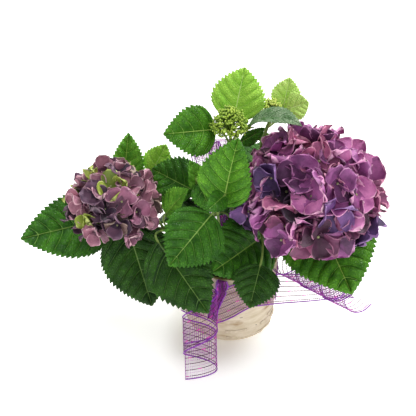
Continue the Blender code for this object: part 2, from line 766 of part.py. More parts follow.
for name, shapes in masses.items():
    fuse("foliage_" + name, shapes, LEAF)
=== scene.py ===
"""Looks of a potted hydrangea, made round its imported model.

A bark-faced pot of compost carries eight green canes with serrated leaves, two mauve flower
heads and two heads of green buds. A wired mesh ribbon is tied round the pot.
"""

import random
from math import cos, exp, pi, radians, sin, sqrt, tan

import bmesh
import bpy
from mathutils import Matrix, Vector, noise
from mathutils.bvhtree import BVHTree


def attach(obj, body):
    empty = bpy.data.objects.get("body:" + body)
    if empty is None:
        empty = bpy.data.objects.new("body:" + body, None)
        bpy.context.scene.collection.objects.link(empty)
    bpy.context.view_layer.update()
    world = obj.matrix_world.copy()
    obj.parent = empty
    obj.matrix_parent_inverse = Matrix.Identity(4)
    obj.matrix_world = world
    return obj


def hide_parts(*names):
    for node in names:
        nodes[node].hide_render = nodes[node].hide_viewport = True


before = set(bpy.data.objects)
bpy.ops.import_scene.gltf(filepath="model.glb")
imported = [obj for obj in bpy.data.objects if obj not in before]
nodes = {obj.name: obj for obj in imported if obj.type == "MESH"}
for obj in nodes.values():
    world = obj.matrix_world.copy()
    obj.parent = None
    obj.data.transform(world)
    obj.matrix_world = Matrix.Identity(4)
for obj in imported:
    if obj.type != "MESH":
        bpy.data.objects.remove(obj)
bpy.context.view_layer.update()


# ---------------------------------------------------------------- pot
# A round pot faced with birch bark: cream skin with short dark flecks, wrapped round a liner in
# thin layers that are trimmed at the rim and peel at their brown torn edges near the foot.

POT_HEIGHT = 0.115
POT_OUTLINE = (
    (0.0640, 0.0000), (0.0662, 0.0012), (0.0688, 0.0110), (0.0698, 0.0550), (0.0709, 0.1140),
)
POT_LINER = 0.0660
POT_FLOOR = 0.006
POT_RIM = ((0.0706, POT_HEIGHT), (0.0668, POT_HEIGHT), (POT_LINER, 0.1138))
POT_INSIDE = ((0.0615, POT_FLOOR + 0.006), (0.0560, POT_FLOOR))
POT_MEAN_RADIUS = 0.07
POT_TURNS = 240
POT_ROWS = 90
BARK_TOP = POT_HEIGHT * 0.9913
BARK_LAYER = 0.00034
BARK_CREASE = 0.00016
BARK_CREAM = "CEBDA0"
BARK_PALE = "E4D7C2"
BARK_TAN = "A98A63"
BARK_FLECK = "4A382B"
PEELS = 26
whim = random.Random(41)


def tint(code):
    """A screen colour, such as 8C5A8E, as the light values that a shader takes."""
    parts = [int(code[i:i + 2], 16) / 255 for i in (0, 2, 4)]
    return tuple(c / 12.92 if c <= 0.04045 else ((c + 0.055) / 1.055) ** 2.4 for c in parts) + (1.0,)


def add_node(tree, kind, feeds=None, **settings):
    """A node with its settings, and with the values or sockets that feed it."""
    made = tree.nodes.new(kind)
    for key, value in settings.items():
        setattr(made, key, value)
    for key, value in (feeds or {}).items():
        if isinstance(value, bpy.types.NodeSocket):
            tree.links.new(value, made.inputs[key])
        else:
            made.inputs[key].default_value = value
    return made


def new_group(name, kind, inputs, outputs):
    """An empty node group with named sockets, and its input and output nodes."""
    group = bpy.data.node_groups.new(name, kind)
    for label, (socket, start) in inputs.items():
        made = group.interface.new_socket(label, in_out="INPUT", socket_type=socket)
        if start is not None:
            made.default_value = start
    for label, socket in outputs.items():
        group.interface.new_socket(label, in_out="OUTPUT", socket_type=socket)
    return group, group.nodes.new("NodeGroupInput"), group.nodes.new("NodeGroupOutput")


def new_finish(name, roughness, **sockets):
    """A material, its node tree and its shader, with constants set on the shader itself."""
    material = bpy.data.materials.new(name)
    material.use_nodes = True
    shader = material.node_tree.nodes["Principled BSDF"]
    shader.inputs["Roughness"].default_value = roughness
    for label, value in sockets.items():
        shader.inputs[label.replace("_", " ")].default_value = value
    return material, material.node_tree, shader


# Two colours in soft patches, with a mask of the patches.
mottle, mottle_in, mottle_out = new_group(
    "mottle", "ShaderNodeTree",
    {
        "Vector": ("NodeSocketVector", None),
        "Scale": ("NodeSocketFloat", 40.0),
        "Balance": ("NodeSocketFloat", 0.5),
        "Light": ("NodeSocketColor", None),
        "Dark": ("NodeSocketColor", None),
    },
    {"Color": "NodeSocketColor", "Mask": "NodeSocketFloat"},
)
patches = add_node(mottle, "ShaderNodeTexNoise", {
    "Vector": mottle_in.outputs["Vector"],
    "Scale": mottle_in.outputs["Scale"],
    "Detail": 5.0,
    "Roughness": 0.6,
})
balance = mottle_in.outputs["Balance"]
low = add_node(mottle, "ShaderNodeMath", {0: balance, 1: 0.16}, operation="SUBTRACT")
high = add_node(mottle, "ShaderNodeMath", {0: balance, 1: 0.16}, operation="ADD")
spread = add_node(mottle, "ShaderNodeMapRange", {
    "Value": patches.outputs["Fac"],
    "From Min": low.outputs[0],
    "From Max": high.outputs[0],
})
blend = add_node(mottle, "ShaderNodeMix", {
    0: spread.outputs["Result"],
    6: mottle_in.outputs["Light"],
    7: mottle_in.outputs["Dark"],
}, data_type="RGBA")
mottle.links.new(blend.outputs[2], mottle_out.inputs["Color"])
mottle.links.new(spread.outputs["Result"], mottle_out.inputs["Mask"])

# Fine relief from noise: a height that a Bump node takes.
grain, grain_in, grain_out = new_group(
    "grain", "ShaderNodeTree",
    {"Vector": ("NodeSocketVector", None), "Scale": ("NodeSocketFloat", 400.0)},
    {"Height": "NodeSocketFloat"},
)
crumple = add_node(grain, "ShaderNodeTexNoise", {
    "Vector": grain_in.outputs["Vector"],
    "Scale": grain_in.outputs["Scale"],
    "Detail": 3.0,
})
grain.links.new(crumple.outputs["Fac"], grain_out.inputs["Height"])


def mottled(name, light, dark, scale, roughness, bump=0.3, depth=0.0004, fine=500.0, **sockets):
    """A finish in two close colours, with fine relief."""
    material, tree, shader = new_finish(name, roughness, **sockets)
    place = add_node(tree, "ShaderNodeTexCoord").outputs["Object"]
    colours = add_node(tree, "ShaderNodeGroup", node_tree=mottle)
    tree.links.new(place, colours.inputs["Vector"])
    colours.inputs["Scale"].default_value = scale
    colours.inputs["Light"].default_value = tint(light)
    colours.inputs["Dark"].default_value = tint(dark)
    tree.links.new(colours.outputs["Color"], shader.inputs["Base Color"])
    relief = add_node(tree, "ShaderNodeGroup", node_tree=grain)
    tree.links.new(place, relief.inputs["Vector"])
    relief.inputs["Scale"].default_value = fine
    raised = add_node(tree, "ShaderNodeBump", {
        "Strength": bump, "Distance": depth, "Height": relief.outputs["Height"],
    })
    tree.links.new(raised.outputs["Normal"], shader.inputs["Normal"])
    return material


def solid(name, points, faces, materials, kinds=None, smooth=True):
    """A mesh object from points and faces, with a material for each face's kind."""
    mesh = bpy.data.meshes.new(name)
    mesh.from_pydata([tuple(p) for p in points], [], faces)
    for material in materials:
        mesh.materials.append(material)
    if kinds is not None:
        mesh.polygons.foreach_set("material_index", kinds)
    mesh.polygons.foreach_set("use_smooth", [smooth] * len(mesh.polygons))
    piece = bpy.data.objects.new(name, mesh)
    bpy.context.scene.collection.objects.link(piece)
    return piece


def turns(steps):
    return [2 * pi * i / steps for i in range(steps)]


def along_outline(outline, z):
    """Radius of a turned outline at height z."""
    for (r0, z0), (r1, z1) in zip(outline, outline[1:]):
        if z <= z1:
            return r0 + (r1 - r0) * (z - z0) / (z1 - z0)
    return outline[-1][0]


def bark_lift(a, z):
    """How far the bark stands out at a heading and height: layers, creases and fine wrinkles."""
    spot = Vector((cos(a) * 3.0, sin(a) * 3.0, z * 95))
    layer = noise.noise(spot)
    step = 1 / (1 + exp(-layer * 26))
    crease = noise.noise(Vector((cos(a) * 7, sin(a) * 7, z * 260)))
    foot = exp(-z / 0.016)
    return BARK_LAYER * step * (1 + 1.3 * foot) + BARK_CREASE * crease - 0.0002


# The bark's skin reads a map of the pot's side, in metres round and up.
bark, tree, shader = new_finish("birch bark", 0.78)
unrolled = add_node(tree, "ShaderNodeUVMap", uv_map="side").outputs["UV"]
streaks = add_node(tree, "ShaderNodeMapping", {
    "Vector": unrolled, "Scale": (0.30, 1.0, 1.0),
}).outputs["Vector"]
skin = add_node(tree, "ShaderNodeGroup", node_tree=mottle)
tree.links.new(streaks, skin.inputs["Vector"])
skin.inputs["Scale"].default_value = 150.0
skin.inputs["Light"].default_value = tint(BARK_PALE)
skin.inputs["Dark"].default_value = tint(BARK_CREAM)
stain = add_node(tree, "ShaderNodeTexNoise", {"Vector": streaks, "Scale": 70.0, "Detail": 6.0})
stained = add_node(tree, "ShaderNodeMapRange", {
    "Value": stain.outputs["Fac"], "From Min": 0.56, "From Max": 0.72,
})
browned = add_node(tree, "ShaderNodeMix", {
    0: stained.outputs["Result"], 6: skin.outputs["Color"], 7: tint(BARK_TAN),
}, data_type="RGBA")
dashes = add_node(tree, "ShaderNodeMapping", {"Vector": unrolled, "Scale": (62.0, 300.0, 1.0)})
flecks = add_node(tree, "ShaderNodeTexVoronoi", {
    "Vector": dashes.outputs["Vector"], "Scale": 1.0, "Randomness": 0.9,
})
sparse = add_node(tree, "ShaderNodeTexNoise", {"Vector": unrolled, "Scale": 55.0})
cut = add_node(tree, "ShaderNodeMapRange", {
    "Value": sparse.outputs["Fac"], "From Min": 0.50, "From Max": 0.66, "To Min": 0.02, "To Max": 0.30,
})
fleck = add_node(tree, "ShaderNodeMath", {
    0: flecks.outputs["Distance"], 1: cut.outputs["Result"],
}, operation="LESS_THAN")
skin_colour = add_node(tree, "ShaderNodeMix", {
    0: fleck.outputs[0], 6: browned.outputs[2], 7: tint(BARK_FLECK),
}, data_type="RGBA")
tree.links.new(skin_colour.outputs[2], shader.inputs["Base Color"])
wrinkle = add_node(tree, "ShaderNodeTexNoise", {"Vector": streaks, "Scale": 900.0, "Detail": 4.0})
raised = add_node(tree, "ShaderNodeBump", {
    "Strength": 0.5, "Distance": 0.0006, "Height": wrinkle.outputs["Fac"],
})
tree.links.new(raised.outputs["Normal"], shader.inputs["Normal"])
torn_bark = mottled("torn bark edge", "B99A72", "7A573A", 260.0, 0.85, 0.5)
liner_finish = mottled("pot liner", "6E5A45", "4B3B2C", 120.0, 0.9)


def bark_pot():
    """The pot's side with its relief, its cut rim, the liner's wall and its floor, as one shell."""
    points, faces, kinds, side = [], [], [], []
    heights = [BARK_TOP * i / POT_ROWS for i in range(POT_ROWS + 1)]
    rings = [(along_outline(POT_OUTLINE, z), z, True) for z in heights]
    rings += [(r, z, False) for r, z in POT_RIM + POT_INSIDE]
    for r, z, rough in rings:
        for a in turns(POT_TURNS):
            lift = bark_lift(a, z) if rough and z > 0.001 else 0
            points.append((cos(a) * (r + lift), sin(a) * (r + lift), z))
    for i in range(len(rings) - 1):
        for k in range(POT_TURNS):
            a, b = i * POT_TURNS + k, i * POT_TURNS + (k + 1) % POT_TURNS
            faces.append((a, b, b + POT_TURNS, a + POT_TURNS))
            kinds.append(0 if i < POT_ROWS else 1 if i < POT_ROWS + 2 else 2)
            for turn, row in ((k, i), (k + 1, i), (k + 1, i + 1), (k, i + 1)):
                side.append((2 * pi * turn / POT_TURNS * POT_MEAN_RADIUS, rings[row][1]))
    faces.append(tuple(range(POT_TURNS))[::-1])
    kinds.append(1)
    side += [points[i][:2] for i in faces[-1]]
    top = (len(rings) - 1) * POT_TURNS
    faces.append(tuple(range(top, top + POT_TURNS)))
    kinds.append(2)
    side += [points[i][:2] for i in faces[-1]]
    piece = solid("pot_bark", points, faces, [bark, torn_bark, liner_finish], kinds)
    unroll = piece.data.uv_layers.new(name="side")
    unroll.data.foreach_set("uv", [c for pair in side for c in pair])
    piece.data.set_sharp_from_angle(angle=radians(40))
    return piece


def grid_rim(rows, columns):
    """The points round the edge of a grid that is counted row by row."""
    rim = list(range(columns)) + [i * columns + columns - 1 for i in range(1, rows)]
    rim += [(rows - 1) * columns + k for k in range(columns - 2, -1, -1)]
    rim += [i * columns for i in range(rows - 2, 0, -1)]
    return list(zip(rim, rim[1:] + rim[:1]))


def peel(a, z, wide, tall, lift):
    """A loose flake of bark: it holds on by its upper edge and curls out at its lower one."""
    points, faces = [], []
    across, down = 9, 6
    ragged = [whim.uniform(0.75, 1.0) for _ in range(across)]
    for skin_side in (0.00045, 0.0):
        for i in range(across):
            for k in range(down):
                share = k / (down - 1)
                heading = a + (i / (across - 1) - 0.5) * wide / POT_MEAN_RADIUS
                height = z - tall * share * ragged[i]
                height += 0.0012 * noise.noise(Vector((heading * 40, z * 300, 0)))
                off = along_outline(POT_OUTLINE, max(height, 0)) + 0.0001 + skin_side
                off += lift * share**2 * (1 - abs(2 * i / (across - 1) - 1) ** 3)
                points.append((cos(heading) * off, sin(heading) * off, max(height, 0.0006)))
    under = across * down
    for i in range(across - 1):
        for k in range(down - 1):
            a0 = i * down + k
            faces.append((a0, a0 + 1, a0 + down + 1, a0 + down))
            faces.append((under + a0, under + a0 + down, under + a0 + down + 1, under + a0 + 1))
    for b, c in grid_rim(across, down):
        faces.append((c, b, under + b, under + c))
    skins = 2 * (across - 1) * (down - 1)
    return points, faces, [0] * skins + [1] * (len(faces) - skins)


def joined(shapes):
    """Points, faces and kinds of several shapes as one list each."""
    points, faces, kinds = [], [], []
    for more, these, sort in shapes:
        start = len(points)
        points += more
        faces += [tuple(start + i for i in face) for face in these]
        kinds += sort
    return points, faces, kinds


pot = bark_pot()
flakes = []
for i in range(PEELS):
    low_down = i % 3 != 0
    rise = whim.uniform(0.006, 0.026) if low_down else whim.uniform(0.03, 0.105)
    size = (whim.uniform(0.012, 0.034), whim.uniform(0.0025, 0.0055))
    flakes.append(peel(whim.uniform(0, 2 * pi), rise, *size, whim.uniform(0.0006, 0.0016)))
points, faces, kinds = joined(flakes)
loose_bark = mottled("loose bark", BARK_PALE, BARK_CREAM, 200.0, 0.8)
peels = solid("pot_bark_peels", points, faces, [loose_bark, torn_bark], kinds)
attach(pot, "root")
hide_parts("pot")
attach(peels, "root")


# ---------------------------------------------------------------- compost
# Moist peat with crumbs and small chips of bark, pressed in round the roots and filled to a
# finger's width under the rim. Its top is a little uneven.

SOIL_FOOT_RADIUS = 0.0612
SOIL_EDGE_RADIUS = 0.0662
SOIL_BED_RADIUS = 0.0655
SOIL_TOP = 0.105
SOIL_WALL_RINGS = 3
SOIL_RINGS = 26
SOIL_TURNS = 72
compost = mottled("compost", "2E2119", "17100B", 160.0, 0.95, 0.9, 0.0012, 700.0)
crumb_finish = mottled("compost crumb", "3A291E", "1C130D", 300.0, 0.95, 0.6)
chip_finish = mottled("bark chip", "6B4A31", "38251A", 300.0, 0.85, 0.6)


def soil_rise(x, y):
    return 0.0016 * noise.noise(Vector((x * 60, y * 60, 3.1))) - 0.0004


rings = [(SOIL_FOOT_RADIUS - 0.0005, POT_FLOOR + 0.0005), (SOIL_FOOT_RADIUS, POT_FLOOR + 0.008)]
rings += [(SOIL_EDGE_RADIUS, SOIL_TOP - 0.004)]
rings += [(SOIL_BED_RADIUS * (1 - i / SOIL_RINGS), SOIL_TOP) for i in range(SOIL_RINGS)]
points, faces = [], []
for i, (r, z) in enumerate(rings):
    for a in turns(SOIL_TURNS):
        x, y = r * cos(a), r * sin(a)
        points.append((x, y, z + (soil_rise(x, y) if i >= SOIL_WALL_RINGS else 0)))
for i in range(len(rings) - 1):
    for k in range(SOIL_TURNS):
        a, b = i * SOIL_TURNS + k, i * SOIL_TURNS + (k + 1) % SOIL_TURNS
        faces.append((a, b, b + SOIL_TURNS, a + SOIL_TURNS))
faces.append(tuple(range(SOIL_TURNS))[::-1])
middle = len(points)
points.append((0, 0, SOIL_TOP + soil_rise(0, 0)))
last = (len(rings) - 1) * SOIL_TURNS
faces += [(last + k, last + (k + 1) % SOIL_TURNS, middle) for k in range(SOIL_TURNS)]
soil = solid("compost_bed", points, faces, [compost])


def crumb(name, size, rough):
    """A small lump with twenty flat sides, knocked out of round."""
    shape = bmesh.new()
    bmesh.ops.create_icosphere(shape, subdivisions=1, radius=1.0)
    for v in shape.verts:
        v.co *= whim.uniform(1 - rough, 1 + rough)
        v.co = Vector(v.co[i] * size[i] for i in range(3))
    mesh = bpy.data.meshes.new(name)
    shape.to_mesh(mesh)
    shape.free()
    piece = bpy.data.objects.new(name, mesh)
    bpy.context.scene.collection.objects.link(piece)
    return piece


# Scatters a lump over a surface: a seeded spread of points, a turn and a size for each.
scatter, scatter_in, scatter_out = new_group(
    "scatter", "GeometryNodeTree",
    {
        "Surface": ("NodeSocketGeometry", None),
        "Lump": ("NodeSocketObject", None),
        "Per Square Metre": ("NodeSocketFloat", 1000.0),
        "Smallest": ("NodeSocketFloat", 0.5),
        "Largest": ("NodeSocketFloat", 1.5),
        "Seed": ("NodeSocketInt", 1),
        "Finish": ("NodeSocketMaterial", None),
    },
    {"Lumps": "NodeSocketGeometry"},
)
given = scatter_in.outputs
spots = add_node(scatter, "GeometryNodeDistributePointsOnFaces", {
    "Mesh": given["Surface"], "Density": given["Per Square Metre"], "Seed": given["Seed"],
})
lump = add_node(scatter, "GeometryNodeObjectInfo", {"Object": given["Lump"]})
turned = add_node(scatter, "FunctionNodeRandomValue", {
    0: (0, 0, 0), 1: (6.28, 6.28, 6.28), "Seed": given["Seed"],
}, data_type="FLOAT_VECTOR")
sized = add_node(scatter, "FunctionNodeRandomValue", {
    2: given["Smallest"], 3: given["Largest"], "Seed": given["Seed"],
}, data_type="FLOAT")
lumps = add_node(scatter, "GeometryNodeInstanceOnPoints", {
    "Points": spots.outputs["Points"],
    "Instance": lump.outputs["Geometry"],
    "Rotation": turned.outputs[0],
    "Scale": sized.outputs[1],
})
whole = add_node(scatter, "GeometryNodeRealizeInstances", {0: lumps.outputs[0]})
dressed = add_node(scatter, "GeometryNodeSetMaterial", {
    "Geometry": whole.outputs[0], "Material": given["Finish"],
})
scatter.links.new(dressed.outputs[0], scatter_out.inputs["Lumps"])


def made_by(group, carrier, values):
    """The plain mesh that a node group makes of a carrier object. The carrier is removed."""
    modifier = carrier.modifiers.new("nodes", "NODES")
    modifier.node_group = group
    for item in group.interface.items_tree:
        if item.in_out == "INPUT" and item.name in values:
            modifier[item.identifier] = values[item.name]
    graph = bpy.context.evaluated_depsgraph_get()
    mesh = bpy.data.meshes.new_from_object(carrier.evaluated_get(graph))
    bpy.data.objects.remove(carrier, do_unlink=True)
    return mesh


def one_object(name, meshes):
    """Joins plain meshes, with their finishes, into one object."""
    parts = []
    for mesh in meshes:
        part = bpy.data.objects.new(name, mesh)
        bpy.context.scene.collection.objects.link(part)
        parts.append(part)
    if len(parts) > 1:
        with bpy.context.temp_override(active_object=parts[0], selected_editable_objects=parts):
            bpy.ops.object.join()
    return parts[0]


wall_points = SOIL_WALL_RINGS * SOIL_TURNS
bed_points = points[wall_points:]
bed_faces = [tuple(i - wall_points for i in face) for face in faces if min(face) >= wall_points]
# Size of a lump, how rough it is, lumps in a square metre, finish and seed.
litter = (
    ((0.0011, 0.0010, 0.0009), 0.25, 60000.0, crumb_finish, 3),
    ((0.0022, 0.0019, 0.0014), 0.30, 14000.0, crumb_finish, 8),
    ((0.0042, 0.0017, 0.0008), 0.20, 5000.0, chip_finish, 5),
)
meshes = []
for size, rough, count, finish, seed in litter:
    shape = crumb("crumb", size, rough)
    carrier = solid("bed_top", bed_points, bed_faces, [compost])
    meshes.append(made_by(scatter, carrier, {
        "Lump": shape,
        "Per Square Metre": count,
        "Smallest": 0.6,
        "Largest": 1.35,
        "Seed": seed,
        "Finish": finish,
    }))
    bpy.data.objects.remove(shape, do_unlink=True)
crumbs = one_object("compost_crumbs", meshes)
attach(soil, "root")
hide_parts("soil")
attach(crumbs, "root")


# ---------------------------------------------------------------- canes and leafy stems
# Eight shoots rise from the crown in the compost. Each is a brown-green cane with pale corky
# specks at its foot, and goes on as a soft green stem that swells at every pair of leaves.

# Foot in the compost, elbow, tip, radius at the foot, and the share that is bare cane.
SHOOTS = {
    "left": ((-0.022, -0.006), (-0.055, -0.008, 0.175), (-0.160, -0.012, 0.160), 0.0036, 0.30),
    "right": ((0.020, -0.004), (0.035, -0.010, 0.200), (0.106, -0.030, 0.182), 0.0042, 0.30),
    "centre": ((0.000, 0.006), (0.004, 0.016, 0.210), (-0.003, 0.002, 0.300), 0.0038, 0.25),
    "front": ((-0.010, -0.018), (-0.016, -0.040, 0.160), (-0.021, -0.040, 0.222), 0.0032, 0.25),
    "middle": ((-0.026, 0.012), (-0.030, 0.010, 0.180), (-0.048, -0.010, 0.232), 0.0032, 0.25),
    "tall": ((0.016, 0.018), (0.022, 0.040, 0.200), (0.056, 0.060, 0.305), 0.0034, 0.25),
    "back_left": ((-0.018, 0.030), (-0.035, 0.060, 0.170), (-0.085, 0.095, 0.205), 0.0034, 0.25),
    "back_right": ((0.028, 0.022), (0.045, 0.045, 0.165), (0.105, 0.075, 0.170), 0.0036, 0.25),
}
UP = Vector((0, 0, 1))
NODE_SWELL = 0.32
SPECKS_ON_A_CANE = 26
SPECK_CORNERS = 8
cane_finish = mottled("cane bark", "7C7A45", "5B4A30", 240.0, 0.7, 0.6, 0.0004, 900.0)
speck_finish = mottled("cane speck", "B49B74", "8C7350", 300.0, 0.8)
stem_finish = mottled("green stem", "7E9A45", "5C7A33", 200.0, 0.5, 0.25)


def bend(start, middle, end, t):
    return start * (1 - t) ** 2 + middle * (2 * t * (1 - t)) + end * t**2


def shoot_point(name, t):
    (x, y), elbow, tip, _, _ = SHOOTS[name]
    foot = Vector((x, y, SOIL_TOP + 0.0003))
    return bend(foot, Vector(elbow), Vector(tip), t)


def shoot_radius(name, t):
    return SHOOTS[name][3] * (1 - 0.45 * t)


def shoot_heading(name, t):
    return (shoot_point(name, t + 0.01) - shoot_point(name, t - 0.01)).normalized()


def sided_tube(path, radii, sides, ridges=0.0):
    """A closed tube along a path, with faint ridges along it."""
    points, faces = [], []
    side = None
    for i, (centre, radius) in enumerate(zip(path, radii)):
        ahead = (path[min(i + 1, len(path) - 1)] - path[max(i - 1, 0)]).normalized()
        if side is None:
            side = ahead.orthogonal().normalized()
        side = (side - ahead * side.dot(ahead)).normalized()
        up = ahead.cross(side)
        for k, a in enumerate(turns(sides)):
            reach = radius * (1 + ridges * (k % 2))
            points.append(centre + (side * cos(a) + up * sin(a)) * reach)
    for i in range(len(path) - 1):
        for k in range(sides):
            a, b = i * sides + k, i * sides + (k + 1) % sides
            faces.append((a, b, b + sides, a + sides))
    faces.append(tuple(range(sides))[::-1])
    tail = (len(path) - 1) * sides
    faces.append(tuple(range(tail, tail + sides)))
    return points, faces, [0] * len(faces)


def shoot_tube(name, start, end, sides, swells):
    """A stretch of a shoot, swollen where its leaves stand."""
    steps = max(8, int((end - start) * 110))
    path, radii = [], []
    for i in range(steps + 1):
        t = start + (end - start) * i / steps
        swell = sum(exp(-((t - spot) / 0.018) ** 2) for spot in swells)
        swell = NODE_SWELL * min(1, swell)
        path.append(shoot_point(name, t))
        radii.append(shoot_radius(name, t) * (0.93 + swell + 0.04 * sin(i * 2.1)))
    return sided_tube(path, radii, sides, 0.05)


canes, specks = [], []
for name, (_, _, _, _, bare) in SHOOTS.items():
    canes.append(shoot_tube(name, 0, bare, 16, (0.03, bare * 0.5, bare * 0.93)))
    for _ in range(SPECKS_ON_A_CANE):
        t = whim.uniform(0.01, bare * 0.97)
        ahead = shoot_heading(name, t)
        out = ahead.orthogonal().normalized()
        out = Matrix.Rotation(whim.uniform(0, 2 * pi), 3, ahead) @ out
        centre = shoot_point(name, t) + out * (shoot_radius(name, t) * 0.93)
        level = ahead.cross(out)
        corners = [
            centre + ahead * (0.0011 * cos(a)) + level * (0.0004 * sin(a))
            for a in turns(SPECK_CORNERS)
        ]
        corners += [centre + out * 0.00035, centre - out * 0.0004]
        sides = []
        for i in range(SPECK_CORNERS):
            after = (i + 1) % SPECK_CORNERS
            sides += [(i, after, SPECK_CORNERS), (after, i, SPECK_CORNERS + 1)]
        specks.append((corners, sides, [1] * len(sides)))
points, faces, kinds = joined(canes + specks)
canes = solid("canes", points, faces, [cane_finish, speck_finish], kinds)
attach(canes, "root")
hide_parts(*["cane_" + name for name in SHOOTS])


# ---------------------------------------------------------------- flower heads
# Two mopheads of sterile florets, each with four broad sepals round a bead. The large head is
# full blown in mauve and violet; the small one is younger, with folded and some green florets.

# Shoot, centre, reach across and up, florets, radius of a floret, and share of the globe covered.
BLOOMS = {
    "bloom_large": ("right", (0.103, -0.040, 0.231), (0.091, 0.085), 46, 0.0225, 0.74),
    "bloom_small": ("left", (-0.164, -0.020, 0.201), (0.057, 0.061), 34, 0.0155, 0.68),
}
SEPAL_ROWS = (0.0, 0.10, 0.26, 0.44, 0.62, 0.78, 0.91, 1.0)
SEPAL_COLUMNS = (-1.0, -0.90, -0.5, 0.0, 0.5, 0.90, 1.0)
SEPAL_THICKNESS = 0.020
BOUGHS = 9
GOLDEN_TURN = pi * (3 - sqrt(5))
# Body, a darker copy of the body that some sepals take at random as painted shade, rim, and heart
# of a floret; the heart darkens the claws, partly their own colour and partly painted shade in the
# floret's middle. A floret takes one of these families; the last of each head is darkened, as
# painted shade, for the florets that lie far inside it.
LARGE_SEPALS = {
    "pink mauve": ("E08AC2", "AC5898", "ECBAD4", "763A6E"),
    "rose": ("D0749E", "904672", "E2A8C0", "602E4C"),
    "mauve": ("B05EA2", "743C70", "CC94BE", "4E264C"),
    "violet": ("8C5EA0", "5E3E78", "AE88BE", "402C52"),
    "blue violet": ("86709E", "5C4C80", "A898BE", "3E345C"),
    "wine": ("843F68", "542A48", "A8748E", "3A1C30"),
    # The darkest family is painted shade, for florets set far inside a head.
    "deep": ("4E3250", "38283E", "6C4C66", "281A26"),
}
SMALL_SEPALS = {
    "dusky mauve": ("AC6C8A", "744862", "CCA0B0", "503244"),
    "old rose": ("C68A9C", "8E5C72", "E2C0C8", "603C4C"),
    "plum": ("704C64", "4C344C", "987A8A", "36263A"),
    "greyed rose": ("9A7672", "6C5852", "C8B8A4", "4C3C3C"),
    "lime": ("B0C24C", "84983A", "D0D886", "687C30"),
    # The darkest family is painted shade, for florets set far inside a head.
    "deep": ("503A4A", "382A38", "78606E", "281E26"),
}
rng = random.Random(27)
flower_whim = random.Random(12)


def sepal_shape(heading, wide, cup, fold, twist, stand, wave, body):
    """One sepal as a thin closed solid: a narrow claw, a broad ruffled body and a blunt point."""
    points, faces, zones = [], [], []
    across = len(SEPAL_COLUMNS)
    along = len(SEPAL_ROWS)
    turn = Matrix.Rotation(heading, 3, "Z") @ Matrix.Rotation(-stand, 3, "Y")
    for side in (0.5, -0.5):
        for t in SEPAL_ROWS:
            reach = max(wide * t**0.65 * (1 - t**2.6) ** 0.60, 0.04)
            roll = twist * t
            for s in SEPAL_COLUMNS:
                x = reach * s
                z = cup * t**1.7 + fold * (0.6 * x * x / wide + 0.5 * abs(x))
                z += 0.24 * sin(3.1 * s + 4.5 * t + wave) * t * s * s
                z += 0.07 * sin(7.0 * t + 1.5 * s + 2 * wave) * t + side * SEPAL_THICKNESS
                pull = 1 - 0.10 * s * s * t
                points.append(turn @ Vector((
                    t * pull, x * cos(roll) - z * sin(roll), 0.02 + z * cos(roll) + x * sin(roll),
                )))
    under = across * along
    for i in range(along - 1):
        for k in range(across - 1):
            a = i * across + k
            rim = i == along - 2 or (k in (0, across - 2) and i > 1)
            # Zone 3, the heart at the claws, is darker, partly as painted shade; zone 1 is the body's
            # darker copy, painted shade.
            zone = 3 if i < 2 else 2 if rim else body
            faces.append((a, a + across, a + across + 1, a + 1))
            faces.append((under + a, under + a + 1, under + a + across + 1, under + a + across))
            zones += [zone, zone]
    for a, b in grid_rim(along, across):
        faces.append((a, b, under + b, under + a))
        zones.append(2)
    return points, faces, zones


def floret_shape(name, wide, cup, fold, stand):
    """A floret of unit radius: four sepals, each bent its own way, and the bead."""
    sepals = []
    for k in range(4):
        sepals.append(sepal_shape(
            pi / 4 + pi / 2 * k + flower_whim.uniform(-0.20, 0.20),
            wide * flower_whim.uniform(0.85, 1.10),
            cup * flower_whim.uniform(-0.7, 1.3),
            fold * flower_whim.uniform(-0.5, 1.4),
            flower_whim.uniform(-0.80, 0.80),
            stand * flower_whim.uniform(-0.1, 1.7) + (0.08 if k % 2 else 0.0),
            flower_whim.uniform(0, 6),
            # About two sepals in five, at random, take the darker copy of the body: painted shade.
            0 if flower_whim.random() < 0.6 else 1,
        ))
    shape = bmesh.new()
    bmesh.ops.create_icosphere(shape, subdivisions=1, radius=0.070)
    bead = [v.co + Vector((0, 0, 0.06)) for v in shape.verts]
    bead_faces = [tuple(v.index for v in face.verts) for face in shape.faces]
    shape.free()
    sepals.append((bead, bead_faces, [4] * len(bead_faces)))
    points, faces, zones = joined(sepals)
    piece = solid(name, points, faces, [])
    zone = piece.data.attributes.new("zone", "INT", "FACE")
    zone.data.foreach_set("value", zones)
    return piece


# Sets a shape out on points that carry a turn and a size, and gives each zone its finish.
ZONES = ("Body", "Painted Shade Body", "Rim", "Heart", "Bead")
set_out, set_in, set_made = new_group(
    "set_out", "GeometryNodeTree",
    {
        "Points": ("NodeSocketGeometry", None),
        "Shape": ("NodeSocketObject", None),
        **{zone: ("NodeSocketMaterial", None) for zone in ZONES},
    },
    {"Shapes": "NodeSocketGeometry"},
)
shape = add_node(set_out, "GeometryNodeObjectInfo", {"Object": set_in.outputs["Shape"]})
named = "GeometryNodeInputNamedAttribute"
turn = add_node(set_out, named, {"Name": "turn"}, data_type="FLOAT_VECTOR")
size = add_node(set_out, named, {"Name": "size"}, data_type="FLOAT")
laid = add_node(set_out, "GeometryNodeInstanceOnPoints", {
    "Points": set_in.outputs["Points"],
    "Instance": shape.outputs["Geometry"],
    "Rotation": turn.outputs["Attribute"],
    "Scale": size.outputs["Attribute"],
})
whole = add_node(set_out, "GeometryNodeRealizeInstances", {0: laid.outputs[0]}).outputs[0]
zoned = add_node(set_out, named, {"Name": "zone"}, data_type="INT")
for i, zone in enumerate(ZONES):
    chosen = add_node(set_out, "FunctionNodeCompare", {
        2: zoned.outputs["Attribute"], 3: i,
    }, data_type="INT", operation="EQUAL")
    whole = add_node(set_out, "GeometryNodeSetMaterial", {
        "Geometry": whole, "Selection": chosen.outputs[0], "Material": set_in.outputs[zone],
    }).outputs[0]
set_out.links.new(whole, set_made.inputs["Shapes"])


